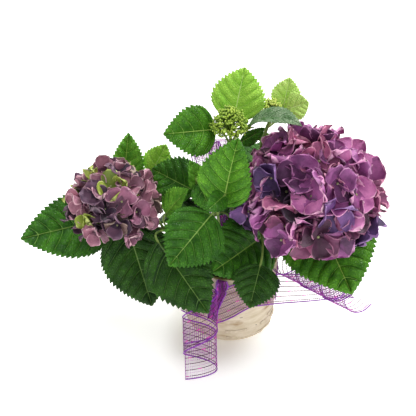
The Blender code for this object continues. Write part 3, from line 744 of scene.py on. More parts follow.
def set_out_on(name, shape, places, finishes):
    """The plain mesh of a shape set out on places, each a point, a turning matrix and a size."""
    mesh = bpy.data.meshes.new(name)
    mesh.from_pydata([tuple(p) for p, _, _ in places], [], [])
    turn = mesh.attributes.new("turn", "FLOAT_VECTOR", "POINT")
    turn.data.foreach_set("vector", [c for _, m, _ in places for c in m.to_euler()])
    size = mesh.attributes.new("size", "FLOAT", "POINT")
    size.data.foreach_set("value", [s for _, _, s in places])
    carrier = bpy.data.objects.new(name, mesh)
    bpy.context.scene.collection.objects.link(carrier)
    made = made_by(set_out, carrier, {"Shape": shape, **dict(zip(ZONES, finishes))})
    made.attributes.remove(made.attributes["zone"])
    return made


def globe_spots(count, share):
    """Evenly spread directions over the top share of a globe, as seeds lie in a seed head."""
    for i in range(count):
        z = 1 - 2 * share * (i + 0.5) / count
        r = sqrt(1 - z * z)
        yield Vector((r * cos(GOLDEN_TURN * i), r * sin(GOLDEN_TURN * i), z))


def facing(out, spin):
    """The turn that lays a floret flat across a direction."""
    side = out.orthogonal().normalized()
    turn = Matrix((side, out.cross(side), out)).transposed()
    return turn @ Matrix.Rotation(spin, 3, "Z")


def sepal_finishes(families):
    """Each family's finishes for the body, its painted-shade copy, rim, heart and bead of its florets.
    """
    made = {}
    for name, (body, fold, rim, heart) in families.items():
        made[name] = [
            mottled(name + " sepal", body, fold, 60.0, 0.6, 0.7, 0.0012, 330.0),
            # The body's darker copy, blended towards the heart: painted shade on the sepals that take
            # it.
            mottled(name + " fold", fold, heart, 60.0, 0.6, 0.7, 0.0012, 330.0),
            mottled(name + " rim", rim, body, 110.0, 0.6, 0.3, 0.0003, 1400.0),
            # Heart: the claws' own darker colour, with painted shade of the floret's middle.
            mottled(name + " heart", heart, fold, 150.0, 0.65, 0.3, 0.0003, 1400.0),
            bead_finish,
        ]
    return made


bead_finish = mottled("floret bead", "B9B88C", "8C9A5C", 900.0, 0.5)
stalk_finish = mottled("flower stalk", "93A058", "6E5E52", 300.0, 0.55)
large_finishes = sepal_finishes(LARGE_SEPALS)
small_finishes = sepal_finishes(SMALL_SEPALS)
open_florets = [
    floret_shape("open_floret", wide, cup, fold, stand)
    for wide, cup, fold, stand in (
        (0.96, 0.30, 0.5, 0.20), (1.02, 0.15, 0.6, 0.35), (0.90, 0.40, 0.4, 0.15),
        (0.98, 0.20, 0.8, 0.50), (0.94, 0.35, 0.9, 0.30), (1.04, 0.15, 0.5, 0.65),
        (0.92, 0.25, 0.7, 0.45), (0.98, 0.40, 0.3, 0.25),
    )
]
young_florets = [
    floret_shape("young_floret", wide, cup, fold, stand)
    for wide, cup, fold, stand in (
        (0.90, 0.30, 0.8, 0.40), (0.94, 0.25, 0.6, 0.30), (0.84, 0.35, 1.1, 0.60),
        (0.92, 0.20, 0.7, 0.25), (0.86, 0.30, 1.0, 0.50),
    )
]


def flower_head(name, shapes, finishes, upper, lower, fullness, fillers, nod):
    """The florets and stalks of a head, by the rule that set out its solid."""
    shoot, centre, (across, tall), count, size, share = BLOOMS[name]
    centre = Vector(centre)
    ahead = shoot_heading(shoot, 1)
    start = shoot_point(shoot, 1) + ahead * 0.0003
    hub = centre - UP * (tall * 0.40)
    thick = shoot_radius(shoot, 1)

    def globe(out, part):
        return centre + Vector((out.x * across, out.y * across, out.z * tall)) * part

    def painted_light_family(out):
        # Painted light: a floret that faces the light takes brighter families, one turned away darker
        # ones.
        lit = max(0, min(1, 0.5 + 0.9 * out.dot(Vector((0.45, 0.15, 0.88)))))
        weights = [a * lit + b * (1 - lit) for a, b in zip(upper, lower)]
        return flower_whim.choices(list(finishes), weights)[0]

    places = []
    for out in globe_spots(count, share):
        spot = globe(out, 0.88 + rng.uniform(-0.07, 0.05))
        petal = size * rng.uniform(0.90, 1.08) * fullness
        places.append((spot, out, petal, rng.uniform(0, pi / 2), painted_light_family(out)))
    for i, out in enumerate(globe_spots(fillers, share)):
        out = Matrix.Rotation(0.9, 3, "Z") @ out
        deep = i % 2
        inward = flower_whim.uniform(0.62, 0.72) if deep else flower_whim.uniform(0.78, 0.86)
        spot = globe(out, inward)
        # Most fillers set far in take the darkest family: painted shade inside the head.
        family = "deep" if deep and flower_whim.random() < 0.6 else painted_light_family(out)
        petal = size * flower_whim.uniform(0.88, 1.05) * fullness
        places.append((spot, out, petal, flower_whim.uniform(0, pi), family))
    dealt = {}
    for spot, out, petal, spin, family in places:
        tilt = Vector(flower_whim.uniform(-nod, nod) for _ in range(3))
        turn = facing((out + tilt).normalized(), spin)
        model = flower_whim.randrange(len(shapes))
        dealt.setdefault((family, model), []).append((spot, turn, petal))
    meshes = [
        set_out_on("florets", shapes[model], group, finishes[family])
        for (family, model), group in dealt.items()
    ]
    boughs = [globe(out, 0.42) for out in globe_spots(BOUGHS, share * 0.85)]
    path = [bend(start, start + ahead * 0.012, hub, i / 6) for i in range(7)]
    stalks = [sided_tube(path, [thick * 0.97] * 6 + [thick * 1.25], 10)]
    for bough in boughs:
        path = [bend(hub, hub.lerp(bough, 0.5) + UP * 0.004, bough, i / 5) for i in range(6)]
        stalks.append(sided_tube(path, [0.0016 - 0.00012 * i for i in range(6)], 7))
    for spot, out, petal, _, _ in places:
        bough = min(boughs, key=lambda b: (b - spot).length)
        root = hub.lerp(bough, flower_whim.uniform(0.45, 0.95))
        path = [bend(root, bough.lerp(spot, 0.35), spot - out * 0.0004, i / 6) for i in range(7)]
        stalks.append(sided_tube(path, [0.0009, 0.0007] + [0.00062] * 4 + [0.0010], 5))
    return one_object(name + "_florets", meshes), stalks


# For each head: its shapes and finishes, how the families are dealt on its lit top and on its
# shaded foot in the order above (painted light: brighter, pinker families where light falls, darker
# ones in shade), how full its florets are, how many fill it in, and how far they nod.
heads = (
    ("bloom_large", open_florets, large_finishes, (10, 6, 4, 0.8, 0.3, 0.4, 0),
     (1.6, 3.5, 5, 2.0, 0.8, 4.5, 1.2), 1.30, 50, 0.65),
    ("bloom_small", young_florets, small_finishes, (5, 4, 3, 2, 2.2, 1),
     (4, 2, 4, 3, 1.6, 2), 1.46, 30, 0.75),
)
for name, shapes, finishes, upper, lower, fullness, fillers, nod in heads:
    florets, stalks = flower_head(name, shapes, finishes, upper, lower, fullness, fillers, nod)
    points, faces, kinds = joined(stalks)
    stalks = solid(name + "_stalks", points, faces, [stalk_finish])
    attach(florets, "root")
    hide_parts(name)
    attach(stalks, "root")
for shape in open_florets + young_florets:
    bpy.data.objects.remove(shape, do_unlink=True)


# ---------------------------------------------------------------- heads of green buds
# Two flower heads that haven't opened: crowded domes of round buds in yellow-green, each bud on
# its own short stalk, with a paler four-parted tip.

# Shoot, centre, reach across, height, clusters, and the size of a cluster.
BUD_HEADS = {
    "buds_centre": ("centre", (-0.004, 0.000, 0.320), 0.023, 0.025, 30, 0.0042),
    "buds_tall": ("tall", (0.056, 0.060, 0.324), 0.012, 0.010, 10, 0.0038),
}
BUDS_IN_A_CLUSTER = 15
BUD_TURNS = 12
bud_finish = mottled("green bud", "9CC23C", "5E8A26", 160.0, 0.5, 0.2)
bud_tip_finish = mottled("bud tip", "CCE45C", "86AC38", 160.0, 0.5, 0.2)
bright_bud_finish = mottled("bright bud", "F0F890", "C8DC58", 260.0, 0.5, 0.2)
bud_stalk_finish = mottled("bud stalk", "8CAA3E", "62862C", 300.0, 0.5, 0.2)


def bud_shape():
    """A closed bud of unit radius: four joined lobes that come to a blunt point."""
    points, faces, zones = [Vector((0, 0, -0.95))], [], []
    rows = ((-0.75, 0.62), (-0.25, 0.98), (0.25, 0.98), (0.68, 0.70), (0.95, 0.32))
    for z, r in rows:
        for k, a in enumerate(turns(BUD_TURNS)):
            groove = 0.82 if k % 3 == 0 else 1.0
            points.append(Vector((cos(a) * r * groove, sin(a) * r * groove, z)))
    points.append(Vector((0, 0, 1.0)))
    for k in range(BUD_TURNS):
        after = (k + 1) % BUD_TURNS
        faces.append((0, 1 + after, 1 + k))
        zones.append(0)
        for i in range(len(rows) - 1):
            a, b = 1 + i * BUD_TURNS + k, 1 + i * BUD_TURNS + after
            faces.append((a, b, b + BUD_TURNS, a + BUD_TURNS))
            zones.append(1 if i > 1 else 0)
        top = 1 + (len(rows) - 1) * BUD_TURNS
        faces.append((top + k, top + after, len(points) - 1))
        zones.append(1)
    piece = solid("bud", points, faces, [])
    zone = piece.data.attributes.new("zone", "INT", "FACE")
    zone.data.foreach_set("value", zones)
    return piece


bud = bud_shape()
for name, (shoot, centre, across, height, count, size) in BUD_HEADS.items():
    centre = Vector(centre)
    ahead = shoot_heading(shoot, 1)
    start = shoot_point(shoot, 1) + ahead * 0.0003
    hub = centre - UP * (height * 0.4)
    thick = shoot_radius(shoot, 1)
    shapes = [sided_tube([start, start.lerp(hub, 0.5), hub], [thick, thick, thick * 1.3], 10)]
    places = []
    for i in range(count + count // 2):
        share = sqrt((i + 0.5) / count)
        drop = max(0, share - 1) * 4
        share = min(1, share) - 0.6 * max(0, share - 1)
        spot = centre + Vector((
            across * share * cos(GOLDEN_TURN * i),
            across * share * sin(GOLDEN_TURN * i),
            height * (1 - share * share - 0.5 * drop) - size,
        ))
        fork = hub.lerp(spot, 0.62)
        path = [hub - UP * 0.001, hub.lerp(fork, 0.5), fork]
        shapes.append(sided_tube(path, [0.0012, 0.0010, 0.0009], 6))
        for k in range(BUDS_IN_A_CLUSTER):
            a = GOLDEN_TURN * (i + k) + k
            reach = flower_whim.uniform(0.4, 1.25) if k else 0.0
            rise = flower_whim.uniform(-0.8, 0.6) if k else 0.45
            end = spot + Vector((cos(a), sin(a), 0)) * (size * reach) + UP * (size * rise)
            out = (end - fork).normalized()
            radius = size * flower_whim.uniform(0.26, 0.44)
            shapes.append(sided_tube([fork, fork.lerp(end, 0.5), end], [0.0006, 0.0005, 0.0005], 5))
            places.append((end, facing(out, flower_whim.uniform(0, 6)), radius))
    ripe, tipped = bud_finish, bud_tip_finish
    if shoot == "tall":
        ripe, tipped = bud_tip_finish, bright_bud_finish
    buds = one_object(name + "_buds", [set_out_on("buds", bud, places, [ripe, tipped] + [ripe] * 3)])
    points, faces, kinds = joined(shapes)
    stalks = solid(name + "_stalks", points, faces, [bud_stalk_finish])
    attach(buds, "root")
    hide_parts(name)
    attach(stalks, "root")
bpy.data.objects.remove(bud, do_unlink=True)


# ---------------------------------------------------------------- leaves
# Broad toothed leaves in crossed pairs on grooved stalks. Pale ribs curve forward from a thick
# midrib, and the green between them is quilted. Old leaves are dark, and those at the tips pale,
# with painted light shining through the palest.

LEAF_SHOULDER = 0.60
LEAF_POINT = 0.95
LEAF_PEAK = (
    (LEAF_SHOULDER / (LEAF_SHOULDER + LEAF_POINT)) ** LEAF_SHOULDER
    * (LEAF_POINT / (LEAF_SHOULDER + LEAF_POINT)) ** LEAF_POINT
)
LEAF_THICKNESS = 0.00055
RIB_WIDTH = 0.034
RIB_SWEEP = 0.80
TOOTH_PITCH = 0.0068
TOOTH_DEPTH = 0.0036
COLUMNS = (0.10, 0.24, 0.40, 0.56, 0.72, 0.84, 0.93, 1.0)
PETIOLE_RADIUS = 0.0016

# Shoot, place along it, blade's base, blade's tip, width, roll, fold, arch, tone.
SET_LEAVES = {
    "far_left": (
        "left", 0.90, (-0.183, 0.062, 0.138), (-0.304, -0.015, 0.147),
        0.099, -59, 10, 15, "full",
    ),
    "left_skirt": (
        "left", 0.86, (-0.150, -0.010, 0.172), (-0.113, -0.070, 0.068),
        0.103, 20, 8, 20, "dark",
    ),
    "left_sail": (
        "left", 0.86, (-0.165, 0.066, 0.182), (-0.151, 0.085, 0.270),
        0.060, 60, 22, 10, "bright",
    ),
    "front_skirt": (
        "left", 0.55, (-0.102, -0.055, 0.169), (-0.032, -0.135, 0.108),
        0.091, 31, 8, 20, "dark",
    ),
    "left_strip": (
        "left", 0.60, (-0.092, -0.022, 0.193), (-0.059, -0.030, 0.237),
        0.043, 43, 20, 10, "bright",
    ),
    "shield": (
        "front", 0.85, (-0.028, -0.060, 0.215), (-0.084, -0.110, 0.166),
        0.084, -41, 8, 15, "full",
    ),
    "crest": (
        "front", 0.97, (-0.013, -0.066, 0.233), (0.019, -0.032, 0.313),
        0.080, 37, 25, 20, "crest",
    ),
    "young": (
        "front", 0.99, (-0.012, -0.070, 0.249), (-0.035, -0.105, 0.246),
        0.028, -46, 10, 20, "full",
    ),
    "lower_front": (
        "right", 0.40, (0.038, -0.079, 0.146), (0.022, -0.125, 0.109),
        0.064, -11, 8, 25, "dark",
    ),
    "right_front": (
        "right", 0.45, (0.050, 0.000, 0.144), (-0.022, -0.104, 0.156),
        0.098, -44, 8, 20, "full",
    ),
    "under_bloom": (
        "back_right", 0.85, (0.126, 0.030, 0.162), (0.164, -0.105, 0.131),
        0.140, 21, 9, 20, "fresh",
    ),
    "top": (
        "centre", 0.90, (0.002, 0.036, 0.308), (0.018, 0.070, 0.374),
        0.076, 20, 8, 10, "pale",
    ),
    "top_left": (
        "centre", 0.90, (-0.024, 0.012, 0.306), (-0.091, -0.025, 0.315),
        0.069, -66, 10, 15, "fresh",
    ),
    # This leaf's greyed pale patches are painted sheen.
    "top_right": (
        "centre", 0.92, (0.021, 0.010, 0.310), (0.089, -0.020, 0.324),
        0.054, 4, 12, 76, "glossy",
    ),
    "top_spur": (
        "centre", 0.82, (0.010, 0.000, 0.292), (0.044, 0.012, 0.308),
        0.029, 106, 10, 10, "full",
    ),
    "bright_spur": (
        "tall", 0.82, (0.064, 0.060, 0.255), (0.040, 0.066, 0.280),
        0.023, -66, 10, 10, "bright",
    ),
    "pale_upright": (
        "tall", 0.93, (0.075, 0.078, 0.310), (0.084, 0.093, 0.352),
        0.045, 26, 16, 10, "young",
    ),
    "pale_side": (
        "tall", 0.90, (0.079, 0.060, 0.317), (0.109, 0.060, 0.326),
        0.042, 62, 12, 15, "young",
    ),
    "dark_left": (
        "middle", 0.86, (-0.051, 0.002, 0.216), (-0.115, 0.030, 0.240),
        0.074, -53, 10, 10, "full",
    ),
    "folded": (
        "middle", 0.95, (-0.044, -0.010, 0.221), (-0.058, -0.005, 0.268),
        0.035, -31, 20, 10, "bright",
    ),
    "inner_dark": (
        "middle", 0.99, (-0.045, -0.040, 0.251), (-0.028, -0.070, 0.224),
        0.034, 27, 10, 20, "full",
    ),
    "lime_left": (
        "back_left", 0.90, (-0.120, 0.078, 0.205), (-0.096, 0.092, 0.248),
        0.045, 48, 5, 5, "pale",
    ),
}
# Places of the other pairs along a shoot, and the heading of the first.
GROWN_PAIRS = {
    "back_left": ((0.36, 0.56, 0.76, 0.93), 110),
    "back_right": ((0.36, 0.56, 0.76, 0.95), 60),
    "tall": ((0.34, 0.50, 0.66, 0.80), 40),
    "middle": ((0.34, 0.50, 0.66), 130),
    "centre": ((0.30, 0.44, 0.58, 0.74), 95),
    "left": ((0.40, 0.66, 0.95), 60),
    "right": ((0.36, 0.52, 0.78), 70),
}
# Sizes and poses that such a leaf tries in turn, until it lies on a leaf of its solid mass.
FALLBACKS = [
    (share, swing, lift)
    for share in (1.0, 0.85, 0.7, 0.55)
    for swing in (0, 25, -25, 50, -50)
    for lift in (0, 16, -16, 32, -32)
]
# Turns and tilts that a leaf of the first list tries, in degrees.
NUDGES = [(0, 0)] + [
    (turn * step, tilt * step)
    for step in (4, 8, 12, 17)
    for turn, tilt in ((0, 1), (0, -1), (1, 0), (-1, 0), (1, 1), (-1, 1), (1, -1), (-1, -1))
]
GROWN_BLADE = 0.118
GROWN_SHRINK = 0.80
GROWN_PROPORTION = 0.72
GROWN_PETIOLE = 0.034
GROWN_FOLD = 8
GROWN_ARCH = 22
ON_THE_SOLID = 0.0012
FINISHES_IN_A_TONE = 5
# Green in two shades, midrib, side ribs, underside and roughness of each tone.
TONES = {
    "dark": ("3E701C", "1A3C10", "76984A", "648A3C", "6F8C5C", 0.42),
    "full": ("529424", "245410", "96B858", "84B04A", "7E9E64", 0.42),
    "fresh": ("68AC28", "326814", "B4D268", "9ECC5A", "8CB070", 0.42),
    "crest": ("78BC30", "38701A", "B0D064", "A0CC58", "8CB070", 0.42),
    "bright": ("8CD044", "4E9024", "BEDC70", "98CC4E", "9CC07C", 0.45),
    # The pale and young greens are the tip leaves' own paler colour, lightened further as painted
    # light shining through them.
    "pale": ("C2F060", "8ECC3E", "DCF0A2", "C4E67C", "B4D686", 0.50),
    "young": ("DCF890", "B8E468", "F2FCC8", "E4F8A4", "D0EC9C", 0.50),
    # Greyed pale patches on dark green: painted sheen, for a leaf that shines.
    "glossy": ("A6BA98", "4A7440", "C4D4A8", "8CA880", "8CAC70", 0.35),
}


def half_width(t):
    """Half-width of a leaf at t along its midrib, as a share of the greatest."""
    return max(t, 1e-6) ** LEAF_SHOULDER * (1 - t) ** LEAF_POINT / LEAF_PEAK


def leaf_axes(base, tip, roll):
    along = (tip - base).normalized()
    across = UP.cross(along).normalized()
    turn = Matrix.Rotation(radians(roll), 3, along)
    return along, turn @ across, turn @ along.cross(across)


def net_veins():
    """The small veins between the ribs: a height that a Bump node takes, and a share that darkens the
    green along them as painted shade.
    """
    group, given, made = new_group(
        "net_veins", "ShaderNodeTree",
        {"Vector": ("NodeSocketVector", None), "Scale": ("NodeSocketFloat", 400.0)},
        {"Height": "NodeSocketFloat", "Shade": "NodeSocketFloat"},
    )
    cells = add_node(group, "ShaderNodeTexVoronoi", {
        "Vector": given.outputs["Vector"], "Scale": given.outputs["Scale"],
    }, feature="DISTANCE_TO_EDGE")
    rise = add_node(group, "ShaderNodeMapRange", {
        "Value": cells.outputs["Distance"], "From Max": 0.30,
    }, interpolation_type="SMOOTHSTEP")
    # Painted shade: the share that darkens the green along the sunken veins.
    shade = add_node(group, "ShaderNodeMapRange", {"Value": rise.outputs["Result"], "To Min": 0.45})
    group.links.new(rise.outputs["Result"], made.inputs["Height"])
    group.links.new(shade.outputs["Result"], made.inputs["Shade"])
    return group


veins_group = net_veins()


def leaf_finish(name, light, dark, roughness):
    """Green in soft patches, quilted by small veins, with painted shade along the sunken veins and a
    satin gloss.
    """
    material, tree, shader = new_finish(name, roughness, Specular_IOR_Level=0.22)
    place = add_node(tree, "ShaderNodeTexCoord").outputs["Object"]
    colours = add_node(tree, "ShaderNodeGroup", node_tree=mottle)
    tree.links.new(place, colours.inputs["Vector"])
    colours.inputs["Scale"].default_value = 55.0
    colours.inputs["Light"].default_value = tint(light)
    colours.inputs["Dark"].default_value = tint(dark)
    net = add_node(tree, "ShaderNodeGroup", node_tree=veins_group)
    tree.links.new(place, net.inputs["Vector"])
    net.inputs["Scale"].default_value = 300.0
    # Painted shade: the green turns towards its dark shade along the sunken veins.
    veined = add_node(tree, "ShaderNodeMix", {
        0: net.outputs["Shade"], 6: tint(dark), 7: colours.outputs["Color"],
    }, data_type="RGBA")
    tree.links.new(veined.outputs[2], shader.inputs["Base Color"])
    quilt = add_node(tree, "ShaderNodeBump", {
        "Strength": 0.8, "Distance": 0.0010, "Height": net.outputs["Height"],
    })
    relief = add_node(tree, "ShaderNodeGroup", node_tree=grain)
    tree.links.new(place, relief.inputs["Vector"])
    relief.inputs["Scale"].default_value = 900.0
    fine = add_node(tree, "ShaderNodeBump", {
        "Strength": 0.25, "Distance": 0.0003, "Height": relief.outputs["Height"],
        "Normal": quilt.outputs["Normal"],
    })
    tree.links.new(fine.outputs["Normal"], shader.inputs["Normal"])
    return material


def rib_lines(length, width):
    """Where each pair of ribs leaves the midrib, and where it meets the leaf's edge."""
    ribs = max(4, min(7, round(3 + 28 * length)))
    starts = [0.0] + [0.02 + 0.80 * (k / (ribs - 1)) ** 0.95 for k in range(ribs)] + [1.0]
    ends = list(starts)
    for _ in range(20):
        ends[1:-1] = [
            (e + min(0.99, m + RIB_SWEEP * width / 2 / length * half_width(e))) / 2
            for m, e in zip(starts[1:-1], ends[1:-1])
        ]
    return starts, ends


def rib_places(starts, ends, length, width):
    """Rows of a leaf from base to tip: place among the ribs, pull towards a rib, tooth, relief."""
    rows = [(0.0, 0.0, 0.0, 0.0)]
    last = len(starts) - 2
    for panel in range(last + 1):
        rise = (ends[panel + 1] - ends[panel]) * length
        spread = (half_width(ends[panel + 1]) - half_width(max(ends[panel], 0.02))) * width / 2
        teeth = max(2, round(sqrt(rise**2 + spread**2) / TOOTH_PITCH))
        if panel > 0:
            rows.append((panel, 1.0, 0.30, 0.0))
        for i in range(teeth):
            for h, tooth in ((0.12, 0.0), (0.50, 0.62), (0.88, 1.0)):
                f = (i + h) / teeth
                if 0.05 < f < 0.96:
                    rows.append((panel + f, 0.0, tooth, sin(pi * f) ** 0.6))
        if panel < last:
            rows.append((panel + 1, -1.0, 0.55, 0.0))
    rows.append((last + 0.985, 0.0, 0.3, 0.0))
    return rows


def leaf_shape(base, tip, width, roll, fold, arch, slot, wave):
    """A leaf blade as a thin closed solid with teeth, ribs and quilting."""
    along, across, face = leaf_axes(base, tip, roll)
    length = (tip - base).length
    rise = length * tan(radians(arch) / 4) / 2
    starts, ends = rib_lines(length, width)
    midrib = min(0.0011, 0.010 * length)
    bite = TOOTH_DEPTH * min(1, width / 0.075)
    quilt = 0.040 * width
    lean, up = cos(radians(fold)), sin(radians(fold))
    places = rib_places(starts, ends, length, width)
    high, low = [], []
    for spot, pull, tooth, relief in places:
        row, back = [], []
        for column in range(-len(COLUMNS) - 1, len(COLUMNS) + 2):
            side = -1 if column < 0 else 1
            step = abs(column)
            c = 0.0 if step < 2 else COLUMNS[step - 2]
            place = spot + pull * RIB_WIDTH * (1 - 0.65 * c)
            k = min(int(place), len(starts) - 2)
            share = place - k
            m = starts[k] + (starts[k + 1] - starts[k]) * share
            e = ends[k] + (ends[k + 1] - ends[k]) * share
            rib = midrib * (1 - 0.7 * m)
            reach = max(width / 2 * half_width(min(e, 0.9999)), rib * 1.3)
            x = 0.0 if step == 0 else rib + (reach - rib) * c
            t = m + (e - m) * c**1.3
            edge = max(0, (c - 0.88) / 0.12)
            notch = bite * min(1, reach * 2.2 / width) ** 0.5
            x += notch * (tooth - 0.55) * edge
            t += notch / length * 0.7 * tooth * edge
            crown = sin(pi * min(1, c * 1.02)) ** 0.6 if c > 0 else 0
            lift = x * up + quilt * relief * crown + 0.05 * reach * sin(pi * c)
            lift += 0.045 * reach * c * c * sin(9 * t + wave + side)
            if step == 0:
                lift -= rib * 0.5
            point = base + along * (length * t) + across * (side * x * lean)
            point += face * (rise * (1 - (2 * t - 1) ** 2) + lift)
            row.append(point)
            keel = 0.0007 * (1 - c) if pull or step < 2 else 0
            back.append(point - face * (LEAF_THICKNESS + keel))
        high.append(row)
        low.append(back)
    wide = len(high[0])
    points = [p for row in high for p in row] + [p for row in low for p in row]
    under = len(high) * wide
    middle = wide // 2
    faces, kinds = [], []
    for i in range(len(high) - 1):
        on_rib = places[i][1] < 0 and places[i + 1][1] > 0
        beside = places[i][1] or places[i + 1][1]
        for k in range(wide - 1):
            a = i * wide + k
            # Faces beside a rib take the tone's plain dark green: painted shade in the creases along
            # the ribs.
            kind = 4 if beside and 1 < k < wide - 3 else 0
            kind = 1 if middle - 1 <= k <= middle else 2 if on_rib and 1 < k < wide - 3 else kind
            faces.append((a, a + 1, a + wide + 1, a + wide))
            faces.append((under + a, under + a + wide, under + a + wide + 1, under + a + 1))
            kinds += [slot + kind, slot + 3]
    for a, b in grid_rim(len(high), wide):
        faces.append((b, a, under + a, under + b))
        kinds.append(slot)
    a, b, c, d = (points[i] for i in faces[2 * middle])
    if (b - a).cross(d - a).dot(face) < 0:
        faces = [tuple(reversed(f)) for f in faces]
    return points, faces, kinds


def petiole(root, base, along, face, slot):
    """A leaf stalk with faint ridges along it, from inside the stem to under the midrib."""
    length = (base - root).length
    elbow = base - along * (length * 0.45)
    path = [bend(root, elbow, base, i / 9) for i in range(10)]
    path += [base + along * 0.004 - face * 0.0006, base + along * 0.009 - face * 0.0007]
    radii = [PETIOLE_RADIUS * k for k in (1.5, 1.25, 1.0, 0.95, 0.92, 0.92, 0.92, 0.94, 0.97, 1.0)]
    radii += [PETIOLE_RADIUS * 0.7, PETIOLE_RADIUS * 0.35]
    points, faces, _ = sided_tube(path, radii, 9, 0.06)
    return points, faces, [slot] * len(faces)


masses = {}
for name in SHOOTS:
    mass = bmesh.new()
    mass.from_mesh(nodes["foliage_" + name].data)
    masses[name] = BVHTree.FromBMesh(mass)
    mass.free()


TRIED_SPOTS = [(t, s) for t in (0.24, 0.46, 0.70) for s in (0.9, -0.9)] + [(1, 0)]


def fills_its_solid(shoot, base, tip, width, roll, fold, arch):
    """Whether a leaf in this pose lies on a leaf of its shoot's solid mass."""
    along, across, face = leaf_axes(base, tip, roll)
    length = (tip - base).length
    rise = length * tan(radians(arch) / 4) / 2
    for t, s in TRIED_SPOTS:
        reach = width / 2 * half_width(min(t, 0.9999)) * abs(s)
        point = base + along * (length * t) + face * (rise * (1 - (2 * t - 1) ** 2))
        point += across * (reach * cos(radians(fold)) * (1 if s > 0 else -1))
        point += face * (reach * sin(radians(fold)))
        if masses[shoot].find_nearest(point)[3] > ON_THE_SOLID:
            return False
    return True


def posed(base, tip, turn, tilt):
    heading = Matrix.Rotation(radians(turn), 3, "Z") @ (tip - base)
    level = UP.cross(heading).normalized()
    return base + Matrix.Rotation(radians(-tilt), 3, level) @ heading


leaves = {name: [] for name in SHOOTS}
for name, (shoot, spot, base, tip, width, roll, fold, arch, tone) in SET_LEAVES.items():
    base, tip = Vector(base), Vector(tip)
    for turn, tilt in NUDGES:
        pose = (base, posed(base, tip, turn, tilt), width, roll, fold, arch)
        if fills_its_solid(shoot, *pose):
            leaves[shoot].append((spot, *pose, tone))
            break
for shoot, (spots, first) in GROWN_PAIRS.items():
    for i, spot in enumerate(spots):
        for side in (0, 180):
            root = shoot_point(shoot, spot)
            reach = GROWN_PETIOLE * (1.25 - 0.5 * spot)
            rise = radians(36 + 20 * spot)
            for share, swing, lift in FALLBACKS:
                heading = radians(first + 90 * i + side + swing + rng.uniform(-8, 8))
                out = Vector((cos(heading), sin(heading), 0))
                steep = rise + radians(lift / 2)
                base = root + out * (reach * cos(steep)) + UP * (reach * sin(steep))
                length = GROWN_BLADE * share * GROWN_SHRINK ** (spot / 0.45)
                pitch = radians(-14 + 30 * spot + lift)
                tip = base + out * (length * cos(pitch)) + UP * (length * sin(pitch))
                width = length * GROWN_PROPORTION
                pose = (base, tip, width, rng.uniform(-14, 14), GROWN_FOLD, GROWN_ARCH)
                if fills_its_solid(shoot, *pose):
                    tone = "dark" if spot < 0.5 else "full" if spot < 0.85 else "bright"
                    leaves[shoot].append((spot, *pose, tone))
                    break

leaf_whim = random.Random(77)
leaf_finishes = []
for tone, (light, dark, midrib, ribs, under, roughness) in TONES.items():
    leaf_finishes.append(leaf_finish(tone + " leaf", light, dark, roughness))
    leaf_finishes.append(mottled(tone + " leaf midrib", midrib, ribs, 260.0, roughness, 0.2))
    leaf_finishes.append(mottled(tone + " leaf rib", ribs, light, 200.0, roughness, 0.2))
    leaf_finishes.append(leaf_finish(tone + " leaf underside", under, light, 0.7))
    # Plain dark green for the creases beside the ribs: painted shade.
    leaf_finishes.append(leaf_finish(tone + " leaf furrow_painted_shade", dark, dark, roughness))
tones = list(TONES)
stems = []
for name, (_, _, _, _, bare) in SHOOTS.items():
    spots = sorted({leaf[0] for leaf in leaves[name]})
    stems.append(shoot_tube(name, bare + 0.004, 1, 12, spots))
    blades = []
    for spot, base, tip, width, roll, fold, arch, tone in leaves[name]:
        along, _, face = leaf_axes(base, tip, roll)
        stems.append(petiole(shoot_point(name, spot), base, along, face, 1))
        slot = FINISHES_IN_A_TONE * tones.index(tone)
        blades.append(leaf_shape(base, tip, width, roll, fold, arch, slot, leaf_whim.uniform(0, 6)))
    points, faces, kinds = joined(blades)
    foliage = solid("leaves_" + name, points, faces, leaf_finishes, kinds)
    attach(foliage, "root")
    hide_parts("foliage_" + name)
petiole_finish = mottled("leaf stalk", "93B055", "7A9546", 240.0, 0.5, 0.25)
points, faces, kinds = joined(stems)
stems = solid("leafy_stems", points, faces, [stem_finish, petiole_finish], kinds)
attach(stems, "root")


# ---------------------------------------------------------------- ribbon
# Wired mesh ribbon, five centimetres wide: an open net of thin plastic threads, a stout violet
# wire along each edge, dark lengthwise stripes and short dashes of painted glint on them. It is
# wound round the pot, tied in front with two curled tails, and stands up in a bow behind the plant.

RIBBON_WIDTH = 0.050
RIBBON_THICKNESS = 0.0010
POT_RIM_RADIUS = 0.0710
NET_PITCH = 0.0028
NET_THREADS = 12
STRIPES = 6
EDGE_WIRE = 0.00070
NET_THREAD = 0.00020
WEFT_THREAD = 0.00028
STRIPE_THREAD = 0.00050
STRIPE_MARGIN = 0.08
# Glints are painted highlights: short bright magenta threads laid on the stripes.
GLINT_THREAD = 0.00065
GLINT_ROWS = 3
GLINT_PITCH = 19
SELVAGE_THREAD = 0.00030
SELVAGE = 0.020
WRAP_START = 232
WRAP_SWEEP = 250
WRAP_STEPS = 24
WRAP_HEIGHT = 0.066

